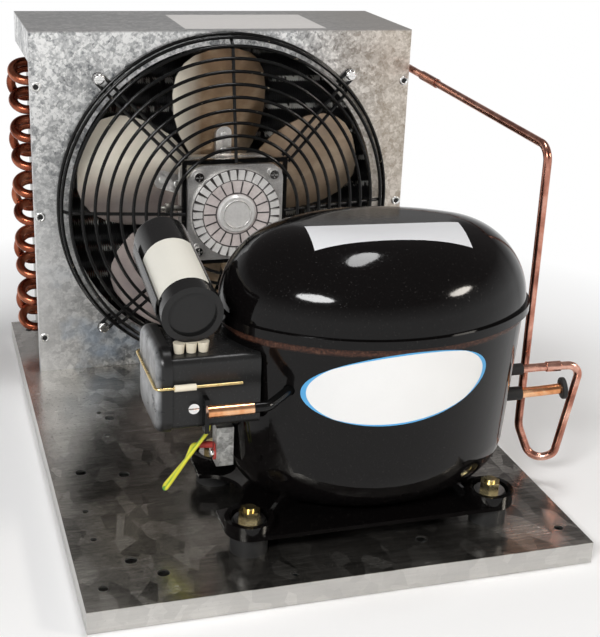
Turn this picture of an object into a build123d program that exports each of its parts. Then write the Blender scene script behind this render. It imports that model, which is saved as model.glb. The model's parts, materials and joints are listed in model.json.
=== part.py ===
"""Air-cooled refrigeration condensing unit on a folded sheet tray.

Frame: +X right, +Y to the rear (condenser side), +Z up.  The origin is the middle of the
tray's rest plane.  All sizes are in millimetres.
"""
import math
import os

from build123d import *

# ---- base tray ----
TRAY_W, TRAY_D, TRAY_H = 355.0, 507.0, 16.0
TRAY_SHEET = 1.5
TRAY_RETURN = 14.0
FIX_X, FIX_Y, FIX_R = 326.0, 458.0, 3.2
SMALL_HOLE_R, LARGE_HOLE_R = 2.2, 4.2
SMALL_HOLES = [(-126, 31), (-126, -13), (-160, -129), (-160, -168), (-38, -242), (163, -115)]
LARGE_HOLES = [(-119, 19), (-155, -70), (-124, -80), (-140, -200), (-122, -220), (61, -220)]

# ---- condenser shroud ----
SHROUD_X, SHROUD_Y = 4.0, 127.0
SHROUD_W, SHROUD_H, SHROUD_D = 334.0, 299.0, 122.0
SHROUD_SHEET = 1.0
SHROUD_SIDE_DROP = 26.0
SHROUD_RETURN = 10.0
SHROUD_FOOT = 18.0
LIP_LENGTH = 6.0
RIVET_INSET, RIVET_HEAD_R, RIVET_HEAD_H, RIVET_SHANK_R, RIVET_BORE_R = 4.6, 4.2, 1.2, 2.0, 1.1
RIVET_HEIGHTS = [32.0, 142.0, 254.0]

# ---- condenser coil ----
COIL_PLATE = 1.2
COIL_PLATE_INSET = 8.5
COIL_TUBE_R = 3.97
COIL_ROWS, ROW_PITCH, COLUMN_PITCH = 10, 25.4, 22.0
COIL_FIRST_ROW = 20.0
COIL_COLUMN_Y = 58.0
BEND_STANDOFF = 4.0
FIN_MARGIN = 1.0
FIN_SLOT, FIN_PITCH, FIN_SLOT_DEPTH = 3.0, 6.0, 6.0
TUBE_FIT = 0.05

# ---- fan, guard and motor ----
FAN_R, BLADE_ROOT_R, BLADES = 132.0, 36.0, 5
FAN_TIP_GAP = 6.0
BLADE_SHEET, BLADE_PITCH_DEG, BLADE_CAMBER_R, BLADE_SPAN_DEG = 1.2, 17.0, 240.0, 50.0
FAN_PLANE = 16.0
SPIDER_R, SPIDER_SHEET, SPIDER_ARM_R, SPIDER_ARM_W = 26.0, 2.5, 64.0, 16.0
BLADE_RIVETS, BLADE_RIVET_R, BLADE_RIVET_HEAD_R = (43.0, 57.0), 1.8, 3.4
GUARD_R, GUARD_WIRE_R, SPOKE_WIRE_R = 147.5, 1.5, 1.5
GUARD_INNER_RINGS, GUARD_RING_STEP, GUARD_INNER_R = 8, 10.5, 56.0
WIRE_TOUCH = 0.05
GUARD_DEPTH = 34.0
GUARD_RIM_STEP = 12.0
SPOKE_GAP = 8.0
LUG_R, LUG_RADIUS, LUG_SHEET = 156.5, 7.0, 2.0
MOTOR_SQ, MOTOR_CORNER_R = 84.0, 14.0
COVER_FRONT = 39.0
COVER_T, HOUSING_L, REAR_T = 10.0, 26.0, 8.0
COVER_SCREW_SQ, COVER_SCREW_R = 66.0, 2.0
SHAFT_R, BEARING_R, BEARING_L = 4.0, 11.0, 7.0
ROTOR_R, ROTOR_GAP = 22.0, 0.5
FRAME_BAR, FRAME_SHEET, FRAME_FIT = 4.0, 2.5, 0.4

# ---- compressor ----
COMP_X, COMP_Y = 40.0, -153.0
COMP_A, COMP_B, COMP_END_R = 109.0, 81.0, 63.0
COMP_BOTTOM, COMP_SEAM, COMP_TOP = 18.0, 152.0, 213.0
COMP_WALL, COMP_BOTTOM_R, COMP_DOME_R = 3.0, 40.0, 56.0
COMP_BOTTOM_INSET = 9.0
LIP_OUT, LIP_H = 3.5, 6.0
FEET_X, FEET_Y, FEET_OFFSET_X = 178.0, 102.0, -11.0
FOOT_SHEET, FOOT_R = 3.0, 17.0
CUP_INNER_R, CUP_RISE = 13.5, 7.0
GUSSET_REACH, GUSSET_RISE = 46.0, 24.0
GROMMET_R, GROMMET_NECK_R, GROMMET_TOP_R, GROMMET_TOP_H = 13.0, 9.0, 12.0, 4.0
SLEEVE_R, SLEEVE_BORE_R, FOOT_BOLT_R = 6.0, 4.2, 4.0
WASHER_R, WASHER_T = 11.0, 1.6
NUT_AF, NUT_H = 13.0, 6.8

# ---- refrigerant tubes ----
SUCTION_R, DISCHARGE_R, PROCESS_R = 3.97, 3.175, 3.97
STUB_WALL = 0.8
SUCTION_Y, SUCTION_Z = -145.0, 84.0
SUCTION_LENGTH = 56.0
STUB_SLEEVE = 24.0
DISCHARGE_Y, DISCHARGE_Z = -143.0, 103.0
RISER_X, RISER_Y, RISER_TOP = 180.0, -124.0, 268.0
LINE_SIDE_GAP = 7.0

# ---- motor side studs ----
STUD_R, STUD_L, STUD_Y, STUD_HEIGHTS = 2.5, 23.0, 104.0, (141.0, 168.0)
STUD_NUT_AF, STUD_NUT_T = 8.0, 4.0

# ---- earth lead ----
EARTH_Y, EARTH_SCREW_Z, EARTH_TAB_TOP = -164.0, 71.0, 92.0
EARTH_RING_R, EARTH_SCREW_R, EARTH_LEAD_R = 5.0, 1.6, 1.3

# ---- terminal box and capacitor ----
BOX_FRONT, BOX_DEPTH, BOX_LEFT = -198.0, 62.0, -112.0
BOX_BOTTOM, BOX_HEIGHT, BOX_WALL = 107.0, 50.0, 2.0
END_COVER_T = 10.0
CAP_R, CAP_L, CAP_TILT = 19.5, 106.0, 9.5
CAP_CENTRE = (-97.0, -190.0, 184.0)
LEAD_XS, LEAD_Y, LEAD_R, LEAD_SLEEVE_R, LEAD_SLEEVE_L = (-105.0, -97.0, -89.0), -186.0, 1.2, 2.2, 6.2

PARTS = {}


def add(name, *shapes):
    """Keep one named node made of one or more separate solids."""
    solids = [solid for shape in shapes for solid in shape.solids()]
    PARTS.setdefault(name, []).extend(solids)


def box(x0, x1, y0, y1, z0, z1):
    return Pos((x0 + x1) / 2, (y0 + y1) / 2, (z0 + z1) / 2) * Box(x1 - x0, y1 - y0, z1 - z0)


def cyl(r, h, at, axis="Z"):
    """Cylinder that starts at a point and runs along +X, +Y or +Z."""
    turn = {"X": Rot(0, 90, 0), "Y": Rot(-90, 0, 0), "Z": Rot(0, 0, 0)}[axis]
    return Pos(*at) * turn * Cylinder(r, h, align=(Align.CENTER, Align.CENTER, Align.MIN))


def ring(r_out, r_in, h, at, axis="Z"):
    return cyl(r_out, h, at, axis) - cyl(r_in, h, at, axis)


def hexagon(across_flats, h, at, axis="Z"):
    turn = {"X": Rot(0, 90, 0), "Y": Rot(-90, 0, 0), "Z": Rot(0, 0, 0)}[axis]
    return Pos(*at) * turn * extrude(RegularPolygon(across_flats / 2, 6, major_radius=False), h)


def pipe(points, radius, bends=0.0, bore=0.0):
    """Round tube along straight runs joined by arcs; bends is one radius or a list."""
    radii = bends if isinstance(bends, (list, tuple)) else [bends] * (len(points) - 2)
    path = FilletPolyline(*points, radius=radii) if len(points) > 2 else Polyline(*points)
    start = Plane(origin=path @ 0, z_dir=path % 0)
    tube = sweep(start * Circle(radius), path=path)
    if bore:
        tube -= sweep(start * Circle(bore), path=path)
    return tube


def oval(a, b, end_r, grow=0.0):
    """Four-arc oval: end arcs of end_r, tangent to two large side arcs."""
    side_r = ((a - end_r) ** 2 + b ** 2 - end_r ** 2) / (2 * (b - end_r))
    cx, cy = a - end_r, side_r - b
    angle = math.degrees(math.atan2(cy, cx))
    half = 90 - angle
    edges = [
        CenterArc((cx, 0), end_r + grow, -angle, 2 * angle),
        CenterArc((0, -cy), side_r + grow, 90 - half, 2 * half),
        CenterArc((-cx, 0), end_r + grow, 180 - angle, 2 * angle),
        CenterArc((0, cy), side_r + grow, 270 - half, 2 * half),
    ]
    return make_face(Curve() + edges)


# ------------------------------------------------------------------ tray
def base_tray():
    w, d, t = TRAY_W / 2, TRAY_D / 2, TRAY_SHEET
    pan = box(-w, w, -d, d, 0, TRAY_H) - box(-w + t, w - t, -d + t, d - t, t, TRAY_H - t)
    r = TRAY_RETURN
    pan -= box(-w + r, w - r, -d + r, d - r, 0, t)
    holes = [(x, y, SMALL_HOLE_R) for x, y in SMALL_HOLES]
    holes += [(x, y, LARGE_HOLE_R) for x, y in LARGE_HOLES]
    for x in (-FIX_X / 2, FIX_X / 2):
        for y in (-FIX_Y / 2, FIX_Y / 2):
            holes.append((x, y, FIX_R))
    for x, y in foot_points():
        holes.append((x, y, FOOT_BOLT_R + 0.3))
    for x, y, radius in holes:
        pan -= cyl(radius, 4 * t, (x, y, TRAY_H - 2 * t))
    for x in (-1, 1):
        for y in (-1, 1):
            pan -= cyl(FIX_R, 2 * t, (x * FIX_X / 2, y * FIX_Y / 2, -t / 2))
    add("base_tray", pan)


# ------------------------------------------------------------------ shroud
FAN_X = SHROUD_X
FAN_Z = TRAY_H + SHROUD_H / 2
OPENING_R = FAN_R + FAN_TIP_GAP
SHROUD_L, SHROUD_R = SHROUD_X - SHROUD_W / 2, SHROUD_X + SHROUD_W / 2
SHROUD_TOP = TRAY_H + SHROUD_H
SHROUD_REAR = SHROUD_Y + SHROUD_D
FRONT_IN = SHROUD_Y + SHROUD_SHEET


def rivet_points():
    for x in (SHROUD_L + RIVET_INSET, SHROUD_R - RIVET_INSET):
        for height in RIVET_HEIGHTS:
            yield x, TRAY_H + height


def lug_points():
    for k in range(4):
        angle = math.radians(45 + 90 * k)
        yield FAN_X + LUG_R * math.cos(angle), FAN_Z + LUG_R * math.sin(angle)


def condenser_shroud():
    t = SHROUD_SHEET
    front = box(SHROUD_L, SHROUD_R, SHROUD_Y, FRONT_IN, TRAY_H, SHROUD_TOP)
    top = box(SHROUD_L, SHROUD_R, SHROUD_Y, SHROUD_REAR, SHROUD_TOP - t, SHROUD_TOP)
    body = front + top
    for side in (SHROUD_L, SHROUD_R - t):
        body += box(side, side + t, SHROUD_Y, SHROUD_Y + SHROUD_RETURN, TRAY_H, SHROUD_TOP)
        body += box(side, side + t, SHROUD_Y, SHROUD_REAR, SHROUD_TOP - SHROUD_SIDE_DROP, SHROUD_TOP)
    body += box(SHROUD_L, SHROUD_R, SHROUD_REAR - t, SHROUD_REAR, SHROUD_TOP - SHROUD_RETURN, SHROUD_TOP)
    inner_l, inner_r = PLATE_IN_L, PLATE_IN_R
    body += box(inner_l, inner_r, SHROUD_Y, SHROUD_Y + SHROUD_FOOT, TRAY_H, TRAY_H + t)
    centre = (FAN_X, SHROUD_Y, FAN_Z)
    body += cyl(OPENING_R + t, LIP_LENGTH, centre, "Y")
    body -= cyl(OPENING_R, LIP_LENGTH, centre, "Y")
    for x, z in rivet_points():
        body -= cyl(RIVET_SHANK_R, t, (x, SHROUD_Y, z), "Y")
    for x, z in lug_points():
        body -= cyl(SCREW_R, t, (x, SHROUD_Y, z), "Y")
    add("condenser_shroud", body)


def pop_rivets():
    depth = SHROUD_SHEET + COIL_PLATE
    for x, z in rivet_points():
        head = cyl(RIVET_HEAD_R, RIVET_HEAD_H, (x, SHROUD_Y - RIVET_HEAD_H, z), "Y")
        head = chamfer(head.faces().sort_by(Axis.Y)[0].edges(), RIVET_HEAD_H * 0.4)
        shank = cyl(RIVET_SHANK_R, depth, (x, SHROUD_Y, z), "Y")
        tail = cyl(RIVET_SHANK_R + 0.8, 1.5, (x, SHROUD_Y + depth, z), "Y")
        bore = cyl(RIVET_BORE_R, depth, (x, SHROUD_Y - RIVET_HEAD_H, z), "Y")
        add("pop_rivets", head + shank + tail - bore)


# ------------------------------------------------------------------ coil
PLATE_OUT_L = SHROUD_L + COIL_PLATE_INSET
PLATE_IN_L = PLATE_OUT_L + COIL_PLATE
PLATE_OUT_R = SHROUD_R - COIL_PLATE_INSET
PLATE_IN_R = PLATE_OUT_R - COIL_PLATE
PLATE_TOP = SHROUD_TOP - SHROUD_SHEET
PLATE_REAR = SHROUD_REAR - SHROUD_SHEET


def tube_rows():
    """Two staggered columns: (y, z) of every tube, front column first."""
    for column in range(2):
        for row in range(COIL_ROWS):
            y = SHROUD_Y + COIL_COLUMN_Y + column * COLUMN_PITCH
            z = TRAY_H + COIL_FIRST_ROW + (row + column / 2) * ROW_PITCH
            yield column, row, y, z


def coil_end_plates():
    for name, out, inner, sign in (("coil_end_plate_left", PLATE_OUT_L, PLATE_IN_L, -1),
                                   ("coil_end_plate_right", PLATE_OUT_R, PLATE_IN_R, 1)):
        x0, x1 = min(out, inner), max(out, inner)
        plate = box(x0, x1, FRONT_IN, PLATE_REAR, TRAY_H, PLATE_TOP)
        edge = out + sign * (COIL_PLATE_INSET - SHROUD_SHEET)
        flange = box(min(out, edge), max(out, edge), FRONT_IN, FRONT_IN + COIL_PLATE, TRAY_H, PLATE_TOP)
        plate += flange
        for _, _, y, z in tube_rows():
            plate -= cyl(COIL_TUBE_R + TUBE_FIT, COIL_PLATE, (x0, y, z), "X")
        for x, z in rivet_points():
            plate -= cyl(RIVET_SHANK_R, COIL_PLATE, (x, FRONT_IN, z), "Y")
        add(name, plate)


def fin_pack():
    y0 = SHROUD_Y + COIL_COLUMN_Y - COLUMN_PITCH / 2
    y1 = y0 + 2 * COLUMN_PITCH
    block = box(PLATE_IN_L + FIN_MARGIN, PLATE_IN_R - FIN_MARGIN, y0, y1,
                TRAY_H + FIN_MARGIN, PLATE_TOP - FIN_MARGIN)
    count = int((PLATE_IN_R - PLATE_IN_L) / FIN_PITCH) - 1
    first = SHROUD_X - (count - 1) * FIN_PITCH / 2
    cuts = []
    for k in range(count):
        x = first + k * FIN_PITCH
        for y in (y0, y1 - FIN_SLOT_DEPTH):
            cuts.append(box(x - FIN_SLOT / 2, x + FIN_SLOT / 2, y, y + FIN_SLOT_DEPTH, 0, SHROUD_TOP))
    block -= cuts
    block -= [cyl(COIL_TUBE_R + TUBE_FIT, SHROUD_W, (SHROUD_L, y, z), "X") for _, _, y, z in tube_rows()]
    add("fin_pack", block)


def coil_tubes():
    length = PLATE_OUT_R - PLATE_OUT_L
    for _, _, y, z in tube_rows():
        add("coil_tubes", cyl(COIL_TUBE_R, length, (PLATE_OUT_L, y, z), "X"))


def return_bends():
    """Diagonal bends: front column row k to rear column row k, on the left;
    rear column row k to front column row k + 1, on the right."""
    points = {(column, row): (y, z) for column, row, y, z in tube_rows()}
    for name, x, sign, step in (("return_bends_left", PLATE_OUT_L, -1, 0),
                                ("return_bends_right", PLATE_OUT_R, 1, 1)):
        for row in range(COIL_ROWS - step):
            y0, z0 = points[(0, row + step)]
            y1, z1 = points[(1, row)]
            half = math.hypot(y1 - y0, z1 - z0) / 2
            tip = x + sign * (BEND_STANDOFF + half)
            knee = x + sign * BEND_STANDOFF
            middle = ((y0 + y1) / 2, (z0 + z1) / 2)
            path = Line((x, y0, z0), (knee, y0, z0))
            path += ThreePointArc((knee, y0, z0), (tip, *middle), (knee, y1, z1))
            path += Line((knee, y1, z1), (x, y1, z1))
            start = Plane(origin=(x, y0, z0), z_dir=(sign, 0, 0))
            add(name, sweep(start * Circle(COIL_TUBE_R), path=path))


# ------------------------------------------------------------------ guard
SCREW_R = 2.2
GUARD_Y = SHROUD_Y - GUARD_WIRE_R - LUG_SHEET
GUARD_FRONT = SHROUD_Y - GUARD_DEPTH
GUARD_KNEE_R = GUARD_R - 8.0
GUARD_KNEE_Y = GUARD_Y - GUARD_RIM_STEP
FRAME_HOLE = MOTOR_SQ / 2 + FRAME_FIT
FRAME_OUT = FRAME_HOLE + FRAME_BAR
CONE_SLOPE = (GUARD_KNEE_Y - GUARD_FRONT) / (GUARD_KNEE_R - FRAME_OUT)
RIM_SLOPE = GUARD_RIM_STEP / (GUARD_R - GUARD_KNEE_R)


def guard_ring(radius, y, slope):
    """Wire ring lying on the front of spokes that pass (radius, y) with this slope."""
    lift = GUARD_WIRE_R + SPOKE_WIRE_R + WIRE_TOUCH
    length = math.hypot(1, slope)
    centre_r, centre_y = radius + lift * slope / length, y - lift / length
    return Pos(FAN_X, centre_y, FAN_Z) * Rot(90, 0, 0) * Torus(centre_r, GUARD_WIRE_R)


def cone_y(radius):
    return GUARD_FRONT + (radius - FRAME_OUT) * CONE_SLOPE


def spoke(angle, side, r_in):
    """One guard wire from the core frame to the outer ring, bent at the knee."""
    c, s = math.cos(angle), math.sin(angle)

    def at(radius, y):
        return (FAN_X + radius * c - side * s, y, FAN_Z + radius * s + side * c)

    reach = GUARD_R - GUARD_WIRE_R - SPOKE_WIRE_R
    tip_y = GUARD_Y - (GUARD_R - reach) * RIM_SLOPE
    points = [at(r_in, cone_y(r_in)), at(GUARD_KNEE_R, GUARD_KNEE_Y), at(reach, tip_y)]
    return pipe(points, SPOKE_WIRE_R, 4.0)


def core_frame():
    """Flat square frame behind the spokes that holds the motor's cover."""
    y0 = GUARD_FRONT + SPOKE_WIRE_R + WIRE_TOUCH
    y1 = y0 + FRAME_SHEET
    frame = box(FAN_X - FRAME_OUT, FAN_X + FRAME_OUT, y0, y1, FAN_Z - FRAME_OUT, FAN_Z + FRAME_OUT)
    return frame - box(FAN_X - FRAME_HOLE, FAN_X + FRAME_HOLE, y0, y1, FAN_Z - FRAME_HOLE, FAN_Z + FRAME_HOLE)


def fan_guard():
    wires = [Pos(FAN_X, GUARD_Y, FAN_Z) * Rot(90, 0, 0) * Torus(GUARD_R, GUARD_WIRE_R)]
    rim_mid = (GUARD_R + GUARD_KNEE_R) / 2
    wires.append(guard_ring(rim_mid, (GUARD_Y + GUARD_KNEE_Y) / 2, RIM_SLOPE))
    wires.append(guard_ring(GUARD_KNEE_R, GUARD_KNEE_Y, CONE_SLOPE))
    for k in range(GUARD_INNER_RINGS):
        radius = GUARD_INNER_R + k * GUARD_RING_STEP
        wires.append(guard_ring(radius, cone_y(radius), CONE_SLOPE))
    for k in range(8):
        diagonal = k % 2 == 1
        corner = FRAME_OUT * math.sqrt(2) - SPOKE_GAP / 2 + SPOKE_WIRE_R + 0.2
        r_in = corner if diagonal else FRAME_OUT - 3
        sides = (-SPOKE_GAP / 2, SPOKE_GAP / 2) if diagonal else (0.0,)
        wires += [spoke(math.radians(45 * k), side, r_in) for side in sides]
    add("fan_guard", *wires)
    add("guard_core_frame", core_frame())
    for k, (x, z) in enumerate(lug_points()):
        y = SHROUD_Y - LUG_SHEET
        lug = cyl(LUG_RADIUS, LUG_SHEET, (x, y, z), "Y")
        arm = Pos(x, SHROUD_Y - LUG_SHEET / 2, z) * Rot(0, -45 - 90 * k, 0) * Pos(-9, 0, 0)
        lug += arm * Box(12, LUG_SHEET, SPOKE_GAP)
        add("guard_lugs", lug - cyl(SCREW_R, LUG_SHEET, (x, y, z), "Y"))


def guard_screws():
    for x, z in lug_points():
        y = SHROUD_Y - LUG_SHEET
        shank = cyl(SCREW_R, LUG_SHEET + SHROUD_SHEET + 6, (x, y, z), "Y")
        washer = cyl(5.2, 1.0, (x, y - 1.0, z), "Y")
        head = cyl(4.6, 3.0, (x, y - 4.0, z), "Y")
        head = fillet(head.faces().sort_by(Axis.Y)[0].edges(), 1.6)
        slot = box(x - 5, x + 5, y - 4.0, y - 3.0, z - 0.6, z + 0.6)
        add("guard_screws", shank + washer + (head - slot))


# ------------------------------------------------------------------ motor
MOTOR_Y0 = SHROUD_Y - COVER_FRONT
HOUSING_Y0 = MOTOR_Y0 + COVER_T
REAR_Y0 = HOUSING_Y0 + HOUSING_L
MOTOR_Y1 = REAR_Y0 + REAR_T
SCREW_BOSS_R = 6.0


def square_slab(side, corner, y0, y1):
    face = Plane(origin=(FAN_X, y0, FAN_Z), z_dir=(0, 1, 0)) * RectangleRounded(side, side, corner)
    return extrude(face, y1 - y0)


def cover_screw_points():
    for sx in (-1, 1):
        for sz in (-1, 1):
            yield FAN_X + sx * COVER_SCREW_SQ / 2, FAN_Z + sz * COVER_SCREW_SQ / 2


def motor_cover():
    axis = (FAN_X, MOTOR_Y0, FAN_Z)
    cover = square_slab(MOTOR_SQ, MOTOR_CORNER_R, MOTOR_Y0 + 4, HOUSING_Y0)
    cover += cyl(39.0, 2.5, (FAN_X, MOTOR_Y0 + 1.5, FAN_Z), "Y")
    cover += cyl(27.0, 1.5, axis, "Y")
    cover += cyl(14.0, 3.0, (FAN_X, MOTOR_Y0 - 1.5, FAN_Z), "Y")
    blocks, ribs = 28, 18
    for k in range(blocks):
        notch = Pos(34.5, 0, 0) * Box(6.0, 1.6, 6.0)
        cover -= Pos(FAN_X, MOTOR_Y0 + 1.5, FAN_Z) * Rot(90, 0, 0) * Rot(0, 0, 360 / blocks * k) * notch
    for k in range(ribs):
        notch = Pos(20.5, 0, 0) * Box(10.0, 1.4, 3.0)
        cover -= Pos(FAN_X, MOTOR_Y0, FAN_Z) * Rot(90, 0, 0) * Rot(0, 0, 360 / ribs * k) * notch
    for x, z in cover_screw_points():
        cover += cyl(SCREW_BOSS_R, HOUSING_Y0 - MOTOR_Y0 - 2, (x, MOTOR_Y0 + 2, z), "Y")
        cover -= cyl(COVER_SCREW_R, COVER_T, (x, MOTOR_Y0, z), "Y")
    bore = (FAN_X, HOUSING_Y0 - BEARING_L, FAN_Z)
    cover -= cyl(BEARING_R, BEARING_L, bore, "Y")
    add("motor_cover", cover)


def motor_body():
    housing = square_slab(MOTOR_SQ - 2, MOTOR_CORNER_R, HOUSING_Y0, REAR_Y0)
    housing -= cyl(ROTOR_R + 14, HOUSING_L, (FAN_X, HOUSING_Y0, FAN_Z), "Y")
    rear = square_slab(MOTOR_SQ, MOTOR_CORNER_R, REAR_Y0, MOTOR_Y1)
    rear -= cyl(BEARING_R, BEARING_L, (FAN_X, REAR_Y0, FAN_Z), "Y")
    rear -= cyl(SHAFT_R + 1.0, REAR_T, (FAN_X, REAR_Y0, FAN_Z), "Y")
    for x, z in cover_screw_points():
        bore = cyl(COVER_SCREW_R, HOUSING_L + REAR_T, (x, HOUSING_Y0, z), "Y")
        housing -= bore
        rear -= bore
    add("motor_housing", housing)
    add("motor_rear_cover", rear)
    stator = ring(ROTOR_R + 14, ROTOR_R + ROTOR_GAP, HOUSING_L - 4, (FAN_X, HOUSING_Y0 + 2, FAN_Z), "Y")
    for k in range(4):
        slot = Pos(ROTOR_R + 3, 0, 0) * Box(8, 5, HOUSING_L)
        mid = HOUSING_Y0 + HOUSING_L / 2
        stator -= Pos(FAN_X, mid, FAN_Z) * Rot(90, 0, 0) * Rot(0, 0, 90 * k + 45) * slot
    add("motor_stator", stator)
    for x, z in cover_screw_points():
        y = MOTOR_Y0 + 2
        shank = cyl(COVER_SCREW_R, COVER_T + HOUSING_L + REAR_T - 2, (x, y, z), "Y")
        head = cyl(4.0, 2.4, (x, y - 2.4, z), "Y")
        head -= box(x - 3, x + 3, y - 2.4, y - 1.4, z - 0.5, z + 0.5)
        head -= box(x - 0.5, x + 0.5, y - 2.4, y - 1.4, z - 3, z + 3)
        add("motor_screws", shank + head)
    for y in (HOUSING_Y0 - BEARING_L, REAR_Y0):
        add("motor_bearings", ring(BEARING_R, SHAFT_R + RUN_FIT, BEARING_L, (FAN_X, y, FAN_Z), "Y"))


def motor_side_studs():
    """Earth and mounting studs on the motor's left side, each with its nut."""
    x0 = FAN_X - MOTOR_SQ / 2 + 1 - STUD_L
    for z in STUD_HEIGHTS:
        stud = cyl(STUD_R, STUD_L, (x0, STUD_Y, z), "X")
        nut = hexagon(STUD_NUT_AF, STUD_NUT_T, (x0 + 5.0, STUD_Y, z), "X")
        washer = cyl(STUD_NUT_AF * 0.7, 1.0, (x0 + 5.0 + STUD_NUT_T, STUD_Y, z), "X")
        add("motor_side_studs", chamfer(stud.faces().sort_by(Axis.X)[0].edges(), 0.6) + nut + washer)


RUN_FIT = 0.05
HUB_Y = MOTOR_Y1 + 3.0
HUB_R, HUB_L, NUT_L = 10.0, 14.0, 4.0


def rotor_and_shaft():
    start = HOUSING_Y0 - BEARING_L
    shaft = cyl(SHAFT_R, HUB_Y + HUB_L + NUT_L + 2 - start, (FAN_X, start, FAN_Z), "Y")
    add("motor_shaft", shaft)
    y0 = HOUSING_Y0 + 2
    add("motor_rotor", ring(ROTOR_R, SHAFT_R, HOUSING_L - 4, (FAN_X, y0, FAN_Z), "Y"))


def blade():
    """Pressed blade on +X of its own frame, axis along Z, leading edge forward."""
    r0, r1 = BLADE_ROOT_R, FAN_R
    half = math.radians(BLADE_SPAN_DEG / 2)
    outline = Polygon((r0, -8), (r0 + 22, -r1 * math.sin(half) * 0.72),
                      (r1 * math.cos(half), -r1 * math.sin(half)),
                      (r1 + 5, -r1 * math.sin(half) * 0.9), (r1 + 5, r1 * math.sin(half) * 0.9),
                      (r1 * math.cos(half), r1 * math.sin(half)),
                      (r0 + 22, r1 * math.sin(half) * 0.72), (r0, 8), align=None)
    outline = fillet(outline.vertices().sort_by(Axis.X)[2:4], 18)
    plan = extrude(outline, 80, both=True) & cyl(r1, 200, (0, 0, -100))
    chord = 2 * r1 * math.sin(half) + 20
    sheet = cyl(BLADE_CAMBER_R, r1, (r0 - 1, 0, -BLADE_CAMBER_R), "X")
    sheet -= cyl(BLADE_CAMBER_R - BLADE_SHEET, r1, (r0 - 1, 0, -BLADE_CAMBER_R), "X")
    sheet &= box(r0 - 1, r1 + 2, -chord / 2, chord / 2, -60, 10)
    for r in BLADE_RIVETS:
        sheet -= cyl(BLADE_RIVET_R, 20, (r, 0, -10))
    sheet = Rot(BLADE_PITCH_DEG, 0, 0) * sheet
    return sheet & plan


def spider_arm():
    """Flat arm of the hub spider, turned to the pitch of the blade that it carries."""
    half = SPIDER_ARM_W / 2
    arm = box(SPIDER_R - 8, SPIDER_ARM_R, -half, half, 0, SPIDER_SHEET)
    arm = fillet(arm.edges().filter_by(Axis.Z).sort_by(Axis.X)[2:], half * 0.8)
    for r in BLADE_RIVETS:
        arm -= cyl(BLADE_RIVET_R, SPIDER_SHEET, (r, 0, 0))
    return Rot(BLADE_PITCH_DEG, 0, 0) * arm


def blade_rivet(r):
    """Rivet through an arm and the blade behind it."""
    head = cyl(BLADE_RIVET_HEAD_R, 1.5, (r, 0, SPIDER_SHEET))
    head = fillet(head.faces().sort_by(Axis.Z)[-1].edges(), 1.0)
    shank = cyl(BLADE_RIVET_R, SPIDER_SHEET + BLADE_SHEET + 0.1, (r, 0, -BLADE_SHEET - 0.1))
    tail = cyl(BLADE_RIVET_HEAD_R, 1.2, (r, 0, -BLADE_SHEET - 1.3))
    return Rot(BLADE_PITCH_DEG, 0, 0) * (head + shank + tail)


def fan():
    mid = SHROUD_Y + FAN_PLANE
    one = blade()
    arm = spider_arm()
    hub = cyl(HUB_R, HUB_L, (FAN_X, HUB_Y, FAN_Z), "Y")
    hub += cyl(SPIDER_R, SPIDER_SHEET, (FAN_X, mid - SPIDER_SHEET, FAN_Z), "Y")
    for k in range(BLADES):
        angle = 90 + 360 / BLADES * k
        place = Pos(FAN_X, mid, FAN_Z) * Rot(90, 0, 0) * Rot(0, 0, angle)
        add("fan_blades", place * one)
        hub += place * arm
        for r in BLADE_RIVETS:
            add("fan_rivets", place * blade_rivet(r))
    hub -= cyl(SHAFT_R, HUB_L, (FAN_X, HUB_Y, FAN_Z), "Y")
    add("fan_hub", hub)
    nut = hexagon(10.0, NUT_L, (FAN_X, HUB_Y + HUB_L, FAN_Z), "Y")
    add("hub_nut", nut - cyl(SHAFT_R, NUT_L, (FAN_X, HUB_Y + HUB_L, FAN_Z), "Y"))


# ------------------------------------------------------------------ compressor
SHELL_Z0 = TRAY_H + COMP_BOTTOM
SEAM_Z = TRAY_H + COMP_SEAM
DOME_Z = TRAY_H + COMP_TOP


def foot_points():
    x0 = COMP_X + FEET_OFFSET_X
    for sx in (-1, 1):
        for sy in (-1, 1):
            yield x0 + sx * FEET_X / 2, COMP_Y + sy * FEET_Y / 2


def shell_oval(z, grow):
    return Pos(COMP_X, COMP_Y, z) * oval(COMP_A, COMP_B, COMP_END_R, grow)


def dome_solid(z0, z1, grow, top_r=0.0):
    body = extrude(shell_oval(z0, grow), z1 - z0)
    return fillet(body.faces().sort_by(Axis.Z)[-1].edges(), top_r) if top_r else body


def bowl_solid(grow, bottom_r):
    """Lower shell form: drawn bowl, narrower at the bottom."""
    z0 = SHELL_Z0 - grow
    body = loft([shell_oval(z0, grow - COMP_BOTTOM_INSET), shell_oval(SEAM_Z, grow)], ruled=True)
    return fillet(body.faces().sort_by(Axis.Z)[0].edges(), bottom_r)


def compressor_shells():
    w = COMP_WALL
    lower = bowl_solid(0, COMP_BOTTOM_R) - bowl_solid(-w, COMP_BOTTOM_R - w)
    bores = [connector_tool(y, z, r) for _, y, z, r in connectors()]
    bores.append(process_tube_solid(PROCESS_R))
    add("compressor_lower_shell", lower - bores)
    upper = dome_solid(SEAM_Z, DOME_Z, 1.0, top_r=COMP_DOME_R) + dome_solid(SEAM_Z, SEAM_Z + LIP_H, LIP_OUT)
    upper -= dome_solid(SEAM_Z, DOME_Z - w, 1.0 - w, top_r=COMP_DOME_R - w)
    add("compressor_upper_shell", upper)


def foot_gusset(x, y):
    """Upright web from a foot cup to the bowl."""
    angle = math.degrees(math.atan2(COMP_Y - y, COMP_X - x))
    face = Plane.XZ * Polygon((CUP_INNER_R + 1, 0), (GUSSET_REACH, 0), (GUSSET_REACH, GUSSET_RISE), align=None)
    return Pos(x, y, SHELL_Z0) * Rot(0, 0, angle) * extrude(face, FOOT_SHEET / 2, both=True)


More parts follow.
